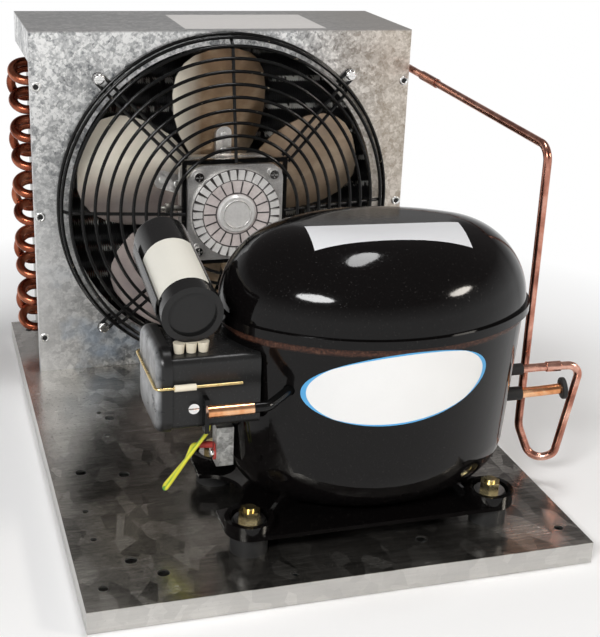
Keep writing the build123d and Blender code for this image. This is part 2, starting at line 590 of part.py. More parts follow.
def compressor_feet():
    x0 = COMP_X + FEET_OFFSET_X
    z0 = SHELL_Z0 - FOOT_SHEET
    w, d = FEET_X + 2 * FOOT_R, FEET_Y + 2 * FOOT_R
    plate = extrude(Pos(x0, COMP_Y, z0) * RectangleRounded(w, d, FOOT_R), FOOT_SHEET)
    for side in (-1, 1):
        notch = Pos(x0 + side * w / 2, COMP_Y, z0) * Cylinder(26, 20)
        plate -= notch
    webs = [foot_gusset(x, y) for x, y in foot_points()]
    cups = [ring(FOOT_R, CUP_INNER_R, CUP_RISE, (x, y, SHELL_Z0)) for x, y in foot_points()]
    plate += [part - bowl_solid(0, COMP_BOTTOM_R) for part in webs + cups]
    for x, y in foot_points():
        plate -= cyl(GROMMET_NECK_R, FOOT_SHEET, (x, y, z0))
        z = TRAY_H
        grommet = cyl(GROMMET_R, z0 - z, (x, y, z))
        grommet += cyl(GROMMET_NECK_R, FOOT_SHEET, (x, y, z0))
        grommet += cyl(GROMMET_TOP_R, GROMMET_TOP_H, (x, y, SHELL_Z0))
        top = SHELL_Z0 + GROMMET_TOP_H
        grommet -= cyl(SLEEVE_R, top - z, (x, y, z))
        add("foot_grommets", grommet)
        add("foot_sleeves", ring(SLEEVE_R, SLEEVE_BORE_R, top - z, (x, y, z)))
        add("foot_washers", ring(WASHER_R, SLEEVE_BORE_R, WASHER_T, (x, y, top)))
        nut_z = top + WASHER_T
        nut = hexagon(NUT_AF, NUT_H, (x, y, nut_z)) - cyl(FOOT_BOLT_R, NUT_H, (x, y, nut_z))
        add("foot_nuts", nut)
        head_z = TRAY_H - TRAY_SHEET - 5
        bolt = cyl(FOOT_BOLT_R, nut_z + NUT_H + 2 - head_z - 5, (x, y, head_z + 5))
        add("foot_bolts", bolt + hexagon(NUT_AF, 5, (x, y, head_z)))
    add("compressor_feet", plate)


# ------------------------------------------------------------------ refrigerant tubes
CONNECTOR_GROW = 1.2
CONNECTOR_X0 = COMP_X + COMP_A - 16.0
CONNECTOR_X1 = COMP_X + COMP_A + STUB_SLEEVE - 6.0


def connectors():
    """Steel connector tubes welded into the shell: name, y, z and outer radius."""
    return [("suction_connector", SUCTION_Y, SUCTION_Z, SUCTION_R + CONNECTOR_GROW),
            ("discharge_connector", DISCHARGE_Y, DISCHARGE_Z, DISCHARGE_R + CONNECTOR_GROW)]


def connector_tool(y, z, radius):
    return cyl(radius, CONNECTOR_X1 - CONNECTOR_X0, (CONNECTOR_X0, y, z), "X")


def tube_connectors():
    for name, y, z, radius in connectors():
        bore = cyl(radius - 2 * STUB_WALL, CONNECTOR_X1 - CONNECTOR_X0, (CONNECTOR_X0, y, z), "X")
        add(name, connector_tool(y, z, radius) - bore)


def suction_tube():
    x1 = CONNECTOR_X1 + SUCTION_LENGTH - STUB_SLEEVE
    start = (CONNECTOR_X1, SUCTION_Y, SUCTION_Z)
    dip = ((CONNECTOR_X1 + x1) / 2, SUCTION_Y, SUCTION_Z)
    end = (x1, SUCTION_Y - 3.0, SUCTION_Z + 2.0)
    add("suction_tube", pipe([start, dip, end], SUCTION_R, 90.0, SUCTION_R - STUB_WALL))
    run = Vector(*end) - Vector(*dip)
    face = Plane(origin=end, z_dir=run)
    plug = extrude(face * Circle(SUCTION_R * 2.1), 4.0)
    plug = fillet(plug.edges().filter_by(GeomType.CIRCLE), 1.2)
    plug += extrude(face * Circle(SUCTION_R - STUB_WALL - 0.2), -10.0)
    add("suction_plug", plug)


def swage(a, b, share0, share1, radius):
    """Swaged sleeve over part of the straight run from a to b."""
    run = Vector(*b) - Vector(*a)
    origin = Vector(*a) + run * share0
    sleeve = extrude(Plane(origin=origin, z_dir=run) * Circle(radius), run.length * (share1 - share0))
    return fillet(sleeve.edges(), 0.5)


def discharge_line():
    inlet = [(y, z) for column, row, y, z in tube_rows() if (column, row) == (1, COIL_ROWS - 1)][0]
    side_x = SHROUD_R + LINE_SIDE_GAP
    points = [
        (CONNECTOR_X1, DISCHARGE_Y, DISCHARGE_Z),
        (CONNECTOR_X1 + 15.0, DISCHARGE_Y, DISCHARGE_Z),
        (RISER_X + 35.0, DISCHARGE_Y - 4.0, DISCHARGE_Z + 1.0),
        (RISER_X + 25.0, RISER_Y - 16.0, 26.0),
        (RISER_X + 10.0, RISER_Y - 8.0, 17.0),
        (RISER_X, RISER_Y, 46.0),
        (RISER_X, RISER_Y, RISER_TOP),
        (side_x - 2.0, SHROUD_Y + 20.0, inlet[1] + 2.0),
        (side_x, inlet[0], inlet[1]),
        (PLATE_OUT_R, inlet[0], inlet[1]),
    ]
    line = pipe(points, DISCHARGE_R, [40.0, 9.0, 8.0, 12.0, 20.0, 12.0, 60.0, 9.0])
    line += swage(points[1], points[2], 0.15, 0.50, DISCHARGE_R + 0.8)
    line += swage(points[6], points[7], 0.74, 0.86, DISCHARGE_R + 0.8)
    line += cyl(COIL_TUBE_R, 7.0, (PLATE_OUT_R, inlet[0], inlet[1]), "X")
    add("discharge_line", line)


def liquid_outlet():
    y, z = [(y, z) for column, row, y, z in tube_rows() if (column, row) == (0, 0)][0]
    stub = pipe([(PLATE_OUT_R, y, z), (SHROUD_R + 6.0, y, z), (SHROUD_R + 6.0, y + 34.0, z)], COIL_TUBE_R, 8.0)
    add("liquid_outlet", stub)
    add("outlet_cap", cyl(COIL_TUBE_R + 1.2, 6.0, (SHROUD_R + 6.0, y + 34.0, z), "Y"))


PROCESS_ROUTE = [(COMP_X - 72.0, COMP_Y - 50.0, 134.0), (COMP_X - 94.0, COMP_Y - 68.0, 130.0),
                 (COMP_X - 104.0, COMP_Y - 68.0, 130.0)]
PROCESS_END = (COMP_X - 134.0, COMP_Y - 68.0, 130.0)


def process_tube_solid(radius):
    return pipe(PROCESS_ROUTE, radius, 8.0)


def process_tube():
    add("process_connector", process_tube_solid(PROCESS_R - 0.6))
    add("process_tube", pipe([PROCESS_ROUTE[-1], PROCESS_END], PROCESS_R))


# ------------------------------------------------------------------ terminal box
BOX_BACK = BOX_FRONT + BOX_DEPTH
BOX_TOP = BOX_BOTTOM + BOX_HEIGHT
BOX_GAP = 0.4


def slab_x(x0, x1, y0, y1, z0, z1, corner):
    face = Plane(origin=(x0, (y0 + y1) / 2, (z0 + z1) / 2), x_dir=(0, 1, 0), z_dir=(1, 0, 0))
    return extrude(face * RectangleRounded(y1 - y0, z1 - z0, corner), x1 - x0)


def terminal_box():
    wall = BOX_WALL
    right = COMP_X - COMP_A + 16.0
    cover = slab_x(BOX_LEFT, right, BOX_FRONT, BOX_BACK, BOX_BOTTOM, BOX_TOP, 5.0)
    cover -= slab_x(BOX_LEFT, right, BOX_FRONT + wall, BOX_BACK - wall, BOX_BOTTOM + wall, BOX_TOP - wall, 3.0)
    cover -= shell_keepout()
    cover = cover.solids().sort_by(SortBy.VOLUME)[-1]
    for x in LEAD_XS:
        cover -= cyl(LEAD_R, wall, (x, LEAD_Y, BOX_TOP - wall))
        add("lead_sleeves", ring(LEAD_SLEEVE_R, LEAD_R, LEAD_SLEEVE_L, (x, LEAD_Y, BOX_TOP)))
    add("terminal_cover", cover)
    end = slab_x(BOX_LEFT - END_COVER_T, BOX_LEFT, BOX_FRONT - 2, BOX_BACK + 2, BOX_BOTTOM - 4, BOX_TOP + 6, 14.0)
    end = fillet(end.faces().sort_by(Axis.X)[0].edges(), 6.0)
    add("terminal_end_cover", end)
    relay = box(BOX_LEFT + 3, BOX_LEFT + 22, BOX_FRONT + 12, BOX_BACK - 12, BOX_BOTTOM + 8, BOX_TOP - 8)
    add("start_relay", relay)
    overload = cyl(11.0, 12.0, (BOX_LEFT + 22, (BOX_FRONT + BOX_BACK) / 2, BOX_BOTTOM + 25), "X")
    add("overload_protector", overload)


def shell_keepout():
    z1 = SEAM_Z + LIP_H + BOX_GAP
    body = bowl_solid(BOX_GAP, COMP_BOTTOM_R)
    return body + extrude(shell_oval(SEAM_Z - 1, LIP_OUT + BOX_GAP), z1 - SEAM_Z + 1)


def bail_clip():
    z = BOX_BOTTOM + 32.0
    y0, y1 = BOX_FRONT - 3.2, BOX_BACK + 3.2
    x0 = BOX_LEFT - END_COVER_T - 1.2
    wire = pipe([(BOX_LEFT + 46, y0, z), (x0, y0, z), (x0, y1, z), (BOX_LEFT + 30, y1, z)], 1.0, 4.0)
    add("bail_clip", wire)
    add("bail_sleeve", ring(2.2, 1.05, 14.0, (BOX_LEFT + 1, y0, z), "X"))


def lead_clamp():
    x, z = BOX_LEFT + 20.0, BOX_BOTTOM + 12.0
    add("lead_clamp", box(x, x + 3, BOX_FRONT - 8, BOX_FRONT, z - 12, z + 12))
    head = cyl(3.6, 2.4, (x - 6, BOX_FRONT - 2.4, z + 4), "Y")
    add("clamp_screw", head - box(x - 10, x - 2, BOX_FRONT - 2.4, BOX_FRONT - 1.4, z + 3.5, z + 4.5))


# ------------------------------------------------------------------ capacitor
def cap_plane():
    """Plane at the capacitor's front end; its Z runs back along the can."""
    tilt = math.radians(CAP_TILT)
    return Plane(origin=CAP_CENTRE, x_dir=(1, 0, 0), z_dir=(0, math.cos(tilt), math.sin(tilt)))


def cap_slice(r_out, r_in, z0, length):
    face = cap_plane().offset(z0) * Circle(r_out)
    if r_in:
        face -= cap_plane().offset(z0) * Circle(r_in)
    return extrude(face, length)


def start_capacitor():
    can = cap_slice(CAP_R, 0, 8.0, CAP_L - 8.0)
    can = fillet(can.faces().sort_by(Axis.Y)[-1].edges(), 3.0)
    add("start_capacitor", can)
    lid = cap_slice(CAP_R + 0.8, 0, 0, 8.0) - cap_slice(CAP_R - 3.5, 0, 0, 2.5)
    add("capacitor_end_cap", lid)
    trough = cap_slice(CAP_R + 2.4, CAP_R + 0.9, 12.0, CAP_L - 26.0)
    opening = cap_plane().offset(10.0) * Pos(9.0, -20.0) * Rectangle(60, 50)
    trough -= extrude(opening, CAP_L)
    x, y = CAP_CENTRE[0], CAP_CENTRE[1]
    leg = box(x - 9, x + 9, y + 22, y + 40, BOX_TOP, BOX_TOP + 16)
    trough += leg - cap_slice(CAP_R + 1.5, 0, 0, CAP_L)
    add("capacitor_bracket", trough)


# ------------------------------------------------------------------ earth
def earth():
    """Earth tab on the bowl with a screw, a ring terminal and a looped lead to the terminal box."""
    x = COMP_X - COMP_A - 6.0
    tab = box(x, x + 12, EARTH_Y - 6, EARTH_Y + 6, EARTH_SCREW_Z - 8, EARTH_TAB_TOP) - shell_keepout()
    tab = tab.solids().sort_by(Axis.X)[0]
    at = (x - 1.0, EARTH_Y, EARTH_SCREW_Z)
    shank = cyl(EARTH_SCREW_R, 4.0, at, "X")
    tab -= shank
    add("earth_tab", tab)
    head = cyl(3.4, 2.4, (x - 3.4, EARTH_Y, EARTH_SCREW_Z), "X")
    head = fillet(head.faces().sort_by(Axis.X)[0].edges(), 1.0)
    head -= box(x - 4, x - 2.6, EARTH_Y - 4, EARTH_Y + 4, EARTH_SCREW_Z - 0.5, EARTH_SCREW_Z + 0.5)
    add("earth_screw", head + shank)
    z = EARTH_SCREW_Z + EARTH_RING_R + 1.5
    route = [(x - 2.4, EARTH_Y - 0.5, z), (x - 12.0, EARTH_Y - 2.0, z + 2.0)]
    eye = ring(EARTH_RING_R, EARTH_SCREW_R, 1.0, at, "X")
    eye += box(x - 1, x, EARTH_Y - 2, EARTH_Y + 2, EARTH_SCREW_Z + 3, z + 1)
    add("earth_terminal", eye + pipe(route, EARTH_LEAD_R + 1.1))
    lead = [route[-1], (x - 16.0, EARTH_Y - 2.6, z + 2.8), (x - 20.0, EARTH_Y - 2.0, 69.0), (x - 36.0, EARTH_Y - 2.0, 50.0),
            (x - 36.0, EARTH_Y - 7.5, 50.0), (x - 21.0, EARTH_Y - 7.5, 72.0),
            (x - 6.0, EARTH_Y - 7.5, 92.0), (x - 6.0, EARTH_Y - 7.5, BOX_BOTTOM)]
    add("earth_lead", pipe(lead, EARTH_LEAD_R, [2.6, 5.0, 2.6, 2.6, 12.0, 12.0]))


def build_all():
    base_tray()
    condenser_shroud()
    pop_rivets()
    coil_end_plates()
    fin_pack()
    coil_tubes()
    return_bends()
    fan_guard()
    guard_screws()
    motor_cover()
    motor_body()
    motor_side_studs()
    rotor_and_shaft()
    fan()
    compressor_shells()
    compressor_feet()
    tube_connectors()
    suction_tube()
    discharge_line()
    liquid_outlet()
    process_tube()
    terminal_box()
    bail_clip()
    lead_clamp()
    start_capacitor()
    earth()


def export_all():
    os.makedirs("parts", exist_ok=True)
    for name, solids in PARTS.items():
        shape = solids[0] if len(solids) == 1 else Compound(children=solids)
        shape.label = name
        export_step(shape, f"parts/{name}.step")


build_all()
export_all()
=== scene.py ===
"""Looks of an air-cooled condensing unit: compressor, coil, fan and wire guard on a tray."""
import json
import math

import bmesh
import bpy
from mathutils import Matrix, Vector
from mathutils.bvhtree import BVHTree


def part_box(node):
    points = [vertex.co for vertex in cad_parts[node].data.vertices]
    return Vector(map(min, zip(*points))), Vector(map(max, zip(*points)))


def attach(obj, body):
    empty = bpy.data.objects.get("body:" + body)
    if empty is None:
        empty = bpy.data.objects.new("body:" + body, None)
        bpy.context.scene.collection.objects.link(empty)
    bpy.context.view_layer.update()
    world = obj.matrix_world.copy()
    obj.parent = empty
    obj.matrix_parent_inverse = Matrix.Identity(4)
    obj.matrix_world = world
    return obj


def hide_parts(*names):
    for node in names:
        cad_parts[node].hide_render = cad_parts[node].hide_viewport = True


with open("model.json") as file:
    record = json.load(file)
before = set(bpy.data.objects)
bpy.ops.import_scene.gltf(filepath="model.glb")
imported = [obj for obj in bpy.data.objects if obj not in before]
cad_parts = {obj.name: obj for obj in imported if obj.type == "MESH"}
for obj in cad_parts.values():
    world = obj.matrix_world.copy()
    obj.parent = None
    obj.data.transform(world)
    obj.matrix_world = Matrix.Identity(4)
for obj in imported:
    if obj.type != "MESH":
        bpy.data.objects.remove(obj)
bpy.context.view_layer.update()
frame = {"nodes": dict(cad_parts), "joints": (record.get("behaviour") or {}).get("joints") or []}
NODES = frame["nodes"]
FAN = Vector(frame["joints"][0]["pos_m"])
MM = 0.001


# ---------------------------------------------------------------- camera
def point_camera():
    """Camera at head height in front of the tray, a little to its left."""
    azimuth, down, tilt = math.radians(-18.07), math.radians(21.02), math.radians(2.38)
    back = Vector((math.sin(azimuth) * math.cos(down), -math.cos(azimuth) * math.cos(down), math.sin(down)))
    level = (-back).cross(Vector((0, 0, 1))).normalized()
    upright = level.cross(-back)
    side = math.cos(tilt) * level + math.sin(tilt) * upright
    above = math.cos(tilt) * upright - math.sin(tilt) * level
    data = bpy.data.cameras.new("camera")
    data.sensor_fit = "HORIZONTAL"
    data.sensor_width = 36.0
    data.lens = 75.2
    camera = bpy.data.objects.new("camera", data)
    turn = Matrix((side, above, back)).transposed().to_4x4()
    camera.matrix_world = Matrix.Translation((-0.2628, -0.9179, 0.4704)) @ turn
    bpy.context.scene.collection.objects.link(camera)
    bpy.context.scene.camera = camera


point_camera()


# ---------------------------------------------------------------- node trees
class Value:
    """One value in a node tree. Arithmetic on it adds Math nodes to its tree."""

    def __init__(self, tree, socket):
        self.tree = tree
        self.socket = socket

    def maths(self, operation, *others, flip=False):
        values = [self, *others]
        if flip:
            values.reverse()
        return self.tree.node("ShaderNodeMath", {"operation": operation}, dict(enumerate(values)))

    def __add__(self, other):
        return self.maths("ADD", other)

    def __sub__(self, other):
        return self.maths("SUBTRACT", other)

    def __rsub__(self, other):
        return self.maths("SUBTRACT", other, flip=True)

    def __mul__(self, other):
        return self.maths("MULTIPLY", other)

    def __truediv__(self, other):
        return self.maths("DIVIDE", other)

    def __pow__(self, other):
        return self.maths("POWER", other)

    __radd__ = __add__
    __rmul__ = __mul__

    def above(self, limit):
        return self.maths("GREATER_THAN", limit)

    def below(self, limit):
        return self.maths("LESS_THAN", limit)

    def step(self, low, high):
        """0 below low, 1 above high and a straight ramp between them."""
        settings = {"clamp": True}
        links = {0: self, 1: low, 2: high, 3: 0.0, 4: 1.0}
        return self.tree.node("ShaderNodeMapRange", settings, links)


class Tree:
    """A node tree with one method that makes a node."""

    def __init__(self, tree):
        self.tree = tree

    def node(self, kind, settings=None, links=None, out=0):
        made = self.tree.nodes.new(kind)
        for name, value in (settings or {}).items():
            if name == "stops":
                self.set_stops(made.color_ramp, value)
            else:
                setattr(made, name, value)
        for name, value in (links or {}).items():
            for one in value if isinstance(value, list) else [value]:
                if isinstance(one, Value):
                    self.tree.links.new(one.socket, made.inputs[name])
                else:
                    made.inputs[name].default_value = one
        return Value(self, made.outputs[out])

    @staticmethod
    def set_stops(ramp, stops):
        while len(ramp.elements) < len(stops):
            ramp.elements.new(0.5)
        for element, (place, colour) in zip(ramp.elements, stops):
            element.position = place
            element.color = (*colour, 1.0)


class Finish(Tree):
    """A material made from nodes on object coordinates."""

    def __init__(self, name, **plain):
        self.material = bpy.data.materials.new(name)
        self.material.use_nodes = True
        super().__init__(self.material.node_tree)
        self.shader = self.tree.nodes["Principled BSDF"]
        for socket, value in plain.items():
            self.shader.inputs[socket.replace("_", " ")].default_value = value
        self.place = self.node("ShaderNodeTexCoord", out=3)

    def stretched(self, scale, turn=(0, 0, 0)):
        """Object coordinates stretched by three factors."""
        links = {"Vector": self.place, "Rotation": turn, "Scale": scale}
        return self.node("ShaderNodeMapping", None, links)

    def noise(self, scale, detail=2.0, rough=0.5, warp=0.0, at=None):
        links = {"Vector": at or self.place, "Scale": scale, "Detail": detail}
        links.update({"Roughness": rough, "Distortion": warp})
        return self.node("ShaderNodeTexNoise", None, links)

    def cells(self, scale, feature="F1", out=1, at=None, jitter=1.0):
        links = {"Vector": at or self.place, "Scale": scale, "Randomness": jitter}
        return self.node("ShaderNodeTexVoronoi", {"feature": feature}, links, out)

    def axis(self, index, at=None):
        return self.node("ShaderNodeSeparateXYZ", None, {0: at or self.place}, index)

    def ramp(self, value, *stops):
        return self.node("ShaderNodeValToRGB", {"stops": stops}, {0: value})

    def blend(self, amount, low, high, kind="MIX"):
        """Colour low where amount is 0, high where it is 1."""
        low = low if isinstance(low, Value) else (*low, 1.0)
        high = high if isinstance(high, Value) else (*high, 1.0)
        mode = {"data_type": "RGBA", "blend_type": kind}
        return self.node("ShaderNodeMix", mode, {0: amount, 6: low, 7: high}, 2)

    @staticmethod
    def middle(low, high):
        return tuple((a + b) / 2 for a, b in zip(low, high))

    def relief(self, height, depth, strength=1.0, under=None):
        links = {"Height": height, "Distance": depth, "Strength": strength}
        if under:
            links["Normal"] = under
        return self.node("ShaderNodeBump", None, links)

    def wear(self, **links):
        """Join values to the shader's sockets."""
        for name, value in links.items():
            self.tree.links.new(value.socket, self.shader.inputs[name.replace("_", " ")])
        return self


# ---------------------------------------------------------------- finishes
def galvanised(name, light, dark, rough, tint_and_painted_light=0.0, sticker=None):
    """Hot-dipped sheet: flat crystals of zinc, cloudy stains and fine dark specks, with a painted highlight
    low on the left and painted shade on the top face.
    """
    f = Finish(name, Metallic=0.9)
    crystal = f.axis(0, f.cells(190.0))
    small = f.axis(0, f.cells(520.0))
    cloud = f.noise(11.0, 5.0, 0.65, 0.5)
    curl = f.noise(90.0, 5.0, 0.72, 1.2)
    tone = crystal * 0.24 + small * 0.22 + cloud * 0.70 + curl * 0.55
    colour = f.ramp(tone, (0.58, dark), (0.82, f.middle(dark, light)), (1.02, light))
    specks = f.noise(380.0, 4.0, 0.8).step(0.57, 0.66)
    patches = f.noise(38.0, 4.0, 0.7).step(0.44, 0.62)
    colour = f.blend(specks * patches * 0.8, colour, (0.05, 0.05, 0.05))
    right = f.axis(0).step(0.06, 0.15)
    colour = f.blend(right * tint_and_painted_light * 0.55, colour, (0.52, 0.42, 0.31))
    # Painted highlight: near-white at the bottom left.
    low_left_painted_light = (1.0 - f.axis(0).step(-0.16, -0.08)) * (1.0 - f.axis(2).step(0.10, 0.24))
    colour = f.blend(low_left_painted_light * tint_and_painted_light * 0.8, colour, (0.97, 0.97, 0.96))
    cold = f.noise(22.0, 3.0).step(0.5, 0.62) * (1.0 - f.axis(2).step(0.03, 0.12))
    colour = f.blend(cold * tint_and_painted_light * 0.6, colour, (0.42, 0.56, 0.74))
    # Painted shade: the top face a darker grey.
    lid_painted_shade = f.axis(2).step(0.3135, 0.3145)
    colour = f.blend(lid_painted_shade * tint_and_painted_light * 0.62, colour, (0.27, 0.265, 0.26))
    height = crystal * 0.8 + curl
    shine = tone * 0.22 + rough
    if sticker:
        low, high, top = sticker
        inside = f.axis(2).above(top) * f.axis(0).above(low.x) * f.axis(0).below(high.x)
        inside = inside * f.axis(1).above(low.y) * f.axis(1).below(high.y)
        colour = f.blend(inside, colour, (0.66, 0.64, 0.62))
        f.wear(Metallic=0.9 - inside * 0.9)
    f.wear(Base_Color=colour, Roughness=shine, Normal=f.relief(height, 0.00012, 0.3))
    return f


def tray_sheet():
    """Tray steel: smoother than the shroud, with drawn streaks, brown handling stains and a painted
    highlight at the back left.
    """
    f = Finish("tray_sheet", Metallic=0.95)
    crystal = f.axis(0, f.cells(95.0, at=f.stretched((1.0, 0.55, 1.0))))
    streaks = f.noise(60.0, 4.0, 0.65, at=f.stretched((0.5, 9.0, 9.0)))
    cloud = f.noise(11.0, 5.0, 0.62, 0.5)
    tone = crystal * 0.22 + streaks * 0.4 + cloud * 0.55
    colour = f.ramp(tone, (0.40, (0.12, 0.115, 0.105)), (0.60, (0.36, 0.345, 0.315)),
                    (0.82, (0.78, 0.76, 0.71)))
    # Painted highlight: near-white in cloudy patches at the back left of the tray.
    left = 1.0 - f.axis(0).step(-0.165, -0.105)
    rear_painted_light = f.axis(1).step(-0.10, 0.02)
    colour = f.blend(left * rear_painted_light * cloud * 1.1, colour, (0.96, 0.94, 0.90))
    specks = f.noise(430.0, 3.0, 0.7).step(0.60, 0.66)
    colour = f.blend(specks * 0.7, colour, (0.07, 0.07, 0.07))
    edge = f.axis(2).step(0.0153, 0.0159)
    skirt = 1.0 - edge
    colour = f.blend(skirt * 0.75, colour, (0.62, 0.61, 0.59))
    rough = tone * 0.22 + 0.10 + skirt * 0.12
    f.wear(Base_Color=colour, Roughness=rough, Normal=f.relief(crystal * 0.4 + streaks, 0.00015, 0.3))
    return f


def enamel(name, weld=False):
    """Thick black enamel over drawn steel, with orange peel."""
    f = Finish(name, IOR=1.30)
    dust = f.noise(900.0, 2.0, 0.6).step(0.66, 0.72)
    cloud = f.noise(16.0, 3.0)
    colour = f.blend(dust * 0.12, (0.0035, 0.003, 0.003), (0.16, 0.15, 0.14))
    rough = cloud * 0.07 + dust * 0.2 + 0.04
    height = f.noise(240.0, 2.0, 0.5) * 0.5 + cloud
    if weld:
        z = f.axis(2)
        ragged = f.noise(90.0, 3.0, 0.7) * 0.003
        band = (z + ragged).step(0.1630, 0.1650) * (1.0 - (z + ragged).step(0.1695, 0.1705))
        grain = f.noise(700.0, 3.0, 0.8)
        rust = f.ramp(grain, (0.35, (0.02, 0.012, 0.01)), (0.55, (0.16, 0.06, 0.035)),
                      (0.7, (0.36, 0.20, 0.13)))
        colour = f.blend(band * 0.45, colour, rust)
        rough = rough + band * 0.35
        height = height + grain * band * 2.0
    f.wear(Base_Color=colour, Roughness=rough, Normal=f.relief(height, 0.0002, 0.25))
    return f


def wire_enamel():
    f = Finish("wire_enamel", IOR=1.33)
    patch = f.noise(70.0, 3.0)
    chips = f.noise(260.0, 3.0, 0.7).step(0.68, 0.72)
    colour = f.blend(chips, (0.004, 0.004, 0.004), (0.20, 0.17, 0.13))
    f.wear(Base_Color=colour, Roughness=patch * 0.12 + 0.10, Normal=f.relief(patch, 0.0003, 0.3))
    return f


def blade_metal():
    """Mill-finish aluminium with painted reflections of the room: soft tan and brown patches, near-white on
    the blade up on the left, dark brown on the top blade, grey on the lower left blade and brown on the
    right one.
    """
    f = Finish("blade_metal", Metallic=0.6)
    low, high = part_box("fan_hub")
    across = f.axis(0) - (low.x + high.x) / 2
    up = f.axis(2) - (low.z + high.z) / 2
    left = 1.0 - across.step(-0.045, -0.020)
    upper_painted_reflection = up.step(-0.005, 0.03)
    right = across.step(0.03, 0.06)
    turn = f.stretched((1.0, 0.4, 1.0), (0.0, 0.5, 0.0))
    soft = f.noise(7.0, 2.0, 0.4, 0.9, at=turn)
    fine = f.noise(190.0, 4.0, 0.7, at=f.stretched((1.0, 1.0, 6.0)))
    wave = f.noise(16.0, 3.0, 0.55, 2.2, at=turn)
    tone = soft * 0.75 + wave * 0.35 + fine * 0.10
    # Painted reflections: tan, brown and white patches from the noise.
    colour = f.ramp(tone, (0.42, (0.09, 0.055, 0.035)), (0.52, (0.30, 0.20, 0.12)),
                    (0.62, (0.66, 0.53, 0.38)), (0.76, (0.97, 0.95, 0.90)))
    # Painted reflection: dark brown on the top blade.
    top = (1.0 - across.maths("ABSOLUTE").step(0.040, 0.055)) * up.step(0.02, 0.05)
    colour = f.blend(top * 0.6, colour, (0.13, 0.075, 0.035))
    # Painted highlight: near-white and less metallic on the blade up on the left.
    pale = left * upper_painted_reflection
    colour = f.blend(pale * (0.70 + soft * 0.4), colour, (1.0, 0.95, 0.82))
    # Painted reflections: grey on the lower left blade and brown on the right blade.
    colour = f.blend(left * (1.0 - upper_painted_reflection) * 0.75, colour, (0.33, 0.29, 0.30))
    colour = f.blend(right * 0.5, colour, (0.60, 0.47, 0.35))
    f.wear(Base_Color=colour, Metallic=0.6 - pale * 0.55, Roughness=fine * 0.10 + 0.18,
           Normal=f.relief(wave + fine * 0.1, 0.0012, 0.35))
    return f


def cast_aluminium():
    f = Finish("cast_aluminium", Metallic=0.9)
    grain = f.noise(620.0, 4.0, 0.7)
    cloud = f.noise(45.0, 3.0)
    tone = grain * 0.5 + cloud * 0.5
    colour = f.ramp(tone, (0.3, (0.42, 0.41, 0.40)), (0.7, (0.86, 0.85, 0.83)))
    f.wear(Base_Color=colour, Roughness=tone * 0.3 + 0.22, Normal=f.relief(grain, 0.00025, 0.5))
    return f


def plain_metal(name, dark, light, rough, grain_scale=300.0, depth=0.0001, metallic=1.0):
    """Small metal parts: two tones mixed by grain, with a little relief."""
    f = Finish(name, Metallic=metallic)
    grain = f.noise(grain_scale, 3.0, 0.6)
    cloud = f.noise(60.0, 2.0)
    tone = grain * 0.4 + cloud * 0.6
    colour = f.ramp(tone, (0.3, dark), (0.7, light))
    f.wear(Base_Color=colour, Roughness=tone * 0.2 + rough, Normal=f.relief(grain, depth, 0.4))
    return f


def copper(name, dark, mid, light, rough):
    """Drawn copper tube: darker oxide patches and bright worn places."""
    f = Finish(name, Metallic=1.0)
    patch = f.noise(38.0, 4.0, 0.6, 0.6)
    fine = f.noise(420.0, 3.0, 0.6)
    tone = patch * 0.93 + fine * 0.07
    colour = f.ramp(tone, (0.36, dark), (0.5, mid), (0.68, light))
    f.wear(Base_Color=colour, Roughness=tone * 0.2 + rough, Normal=f.relief(fine, 0.00002, 0.15))
    return f


def moulded(name, colour, rough, lift=0.03, grain_scale=500.0):
    """Moulded plastic or rubber with a fine grain."""
    f = Finish(name, IOR=1.35)
    grain = f.noise(grain_scale, 3.0, 0.6)
    cloud = f.noise(50.0, 2.0)
    light = tuple(min(1.0, c + lift) for c in colour)
    f.wear(Base_Color=f.blend(grain * 0.5 + cloud * 0.5, colour, light),
           Roughness=grain * 0.15 + rough, Normal=f.relief(grain, 0.0001, 0.3))
    return f


def fin_black():
    """Black coated fins with painted glints: bright dashes in patches along the tube rows."""
    f = Finish("fin_black", IOR=1.45)
    grain = f.noise(600.0, 2.0, 0.6)
    row = ((f.axis(2) - TUBE_Z) / TUBE_PITCH + 0.5).maths("FRACT") - 0.5
    band = 1.0 - row.maths("ABSOLUTE").step(0.07, 0.11)
    patch = f.noise(18.0, 2.0, 0.5, at=f.stretched((1.0, 0.1, 1.0))).step(0.38, 0.46)
    # Painted glints: bright dashes on the fins along the tube rows, only in patches.
    glint = f.axis(0, f.cells(520.0, at=f.stretched((1.0, 0.0, 0.25)))).step(0.22, 0.42) * band * patch
    f.wear(Base_Color=f.blend(glint, (0.012, 0.012, 0.013), (0.85, 0.84, 0.80)),
           Roughness=grain * 0.3 + 0.3, Normal=f.relief(grain, 0.0001, 0.3))
    return f


def end_cover():
    """Black moulding with a painted grey sheen on its flat end, above a set height."""
    f = Finish("end_cover", IOR=1.4)
    # Painted sheen: grey in patches on the flat end, above a set height.
    face = 1.0 - f.axis(0).step(-0.1219, -0.1185)
    scuff_and_sheen = f.noise(60.0, 4.0, 0.7)
    painted_sheen = f.ramp(scuff_and_sheen, (0.35, (0.12, 0.125, 0.13)), (0.6, (0.42, 0.43, 0.44)))
    f.wear(Base_Color=f.blend(face * f.axis(2).step(0.105, 0.125), (0.010, 0.010, 0.010), painted_sheen),
           Roughness=scuff_and_sheen * 0.2 + 0.2, Normal=f.relief(scuff_and_sheen, 0.0002, 0.3))
    return f


def striped_lead():
    """Green and yellow insulation, in stripes along the lead."""
    f = Finish("striped_lead", IOR=1.46)
    stripe = (f.axis(1) * 900.0 + f.noise(60.0) * 1.5).maths("SINE").step(-0.2, 0.2)
    colour = f.blend(stripe, (0.10, 0.42, 0.05), (0.75, 0.72, 0.05))
    f.wear(Base_Color=colour, Roughness=f.noise(400.0) * 0.2 + 0.3)
    return f


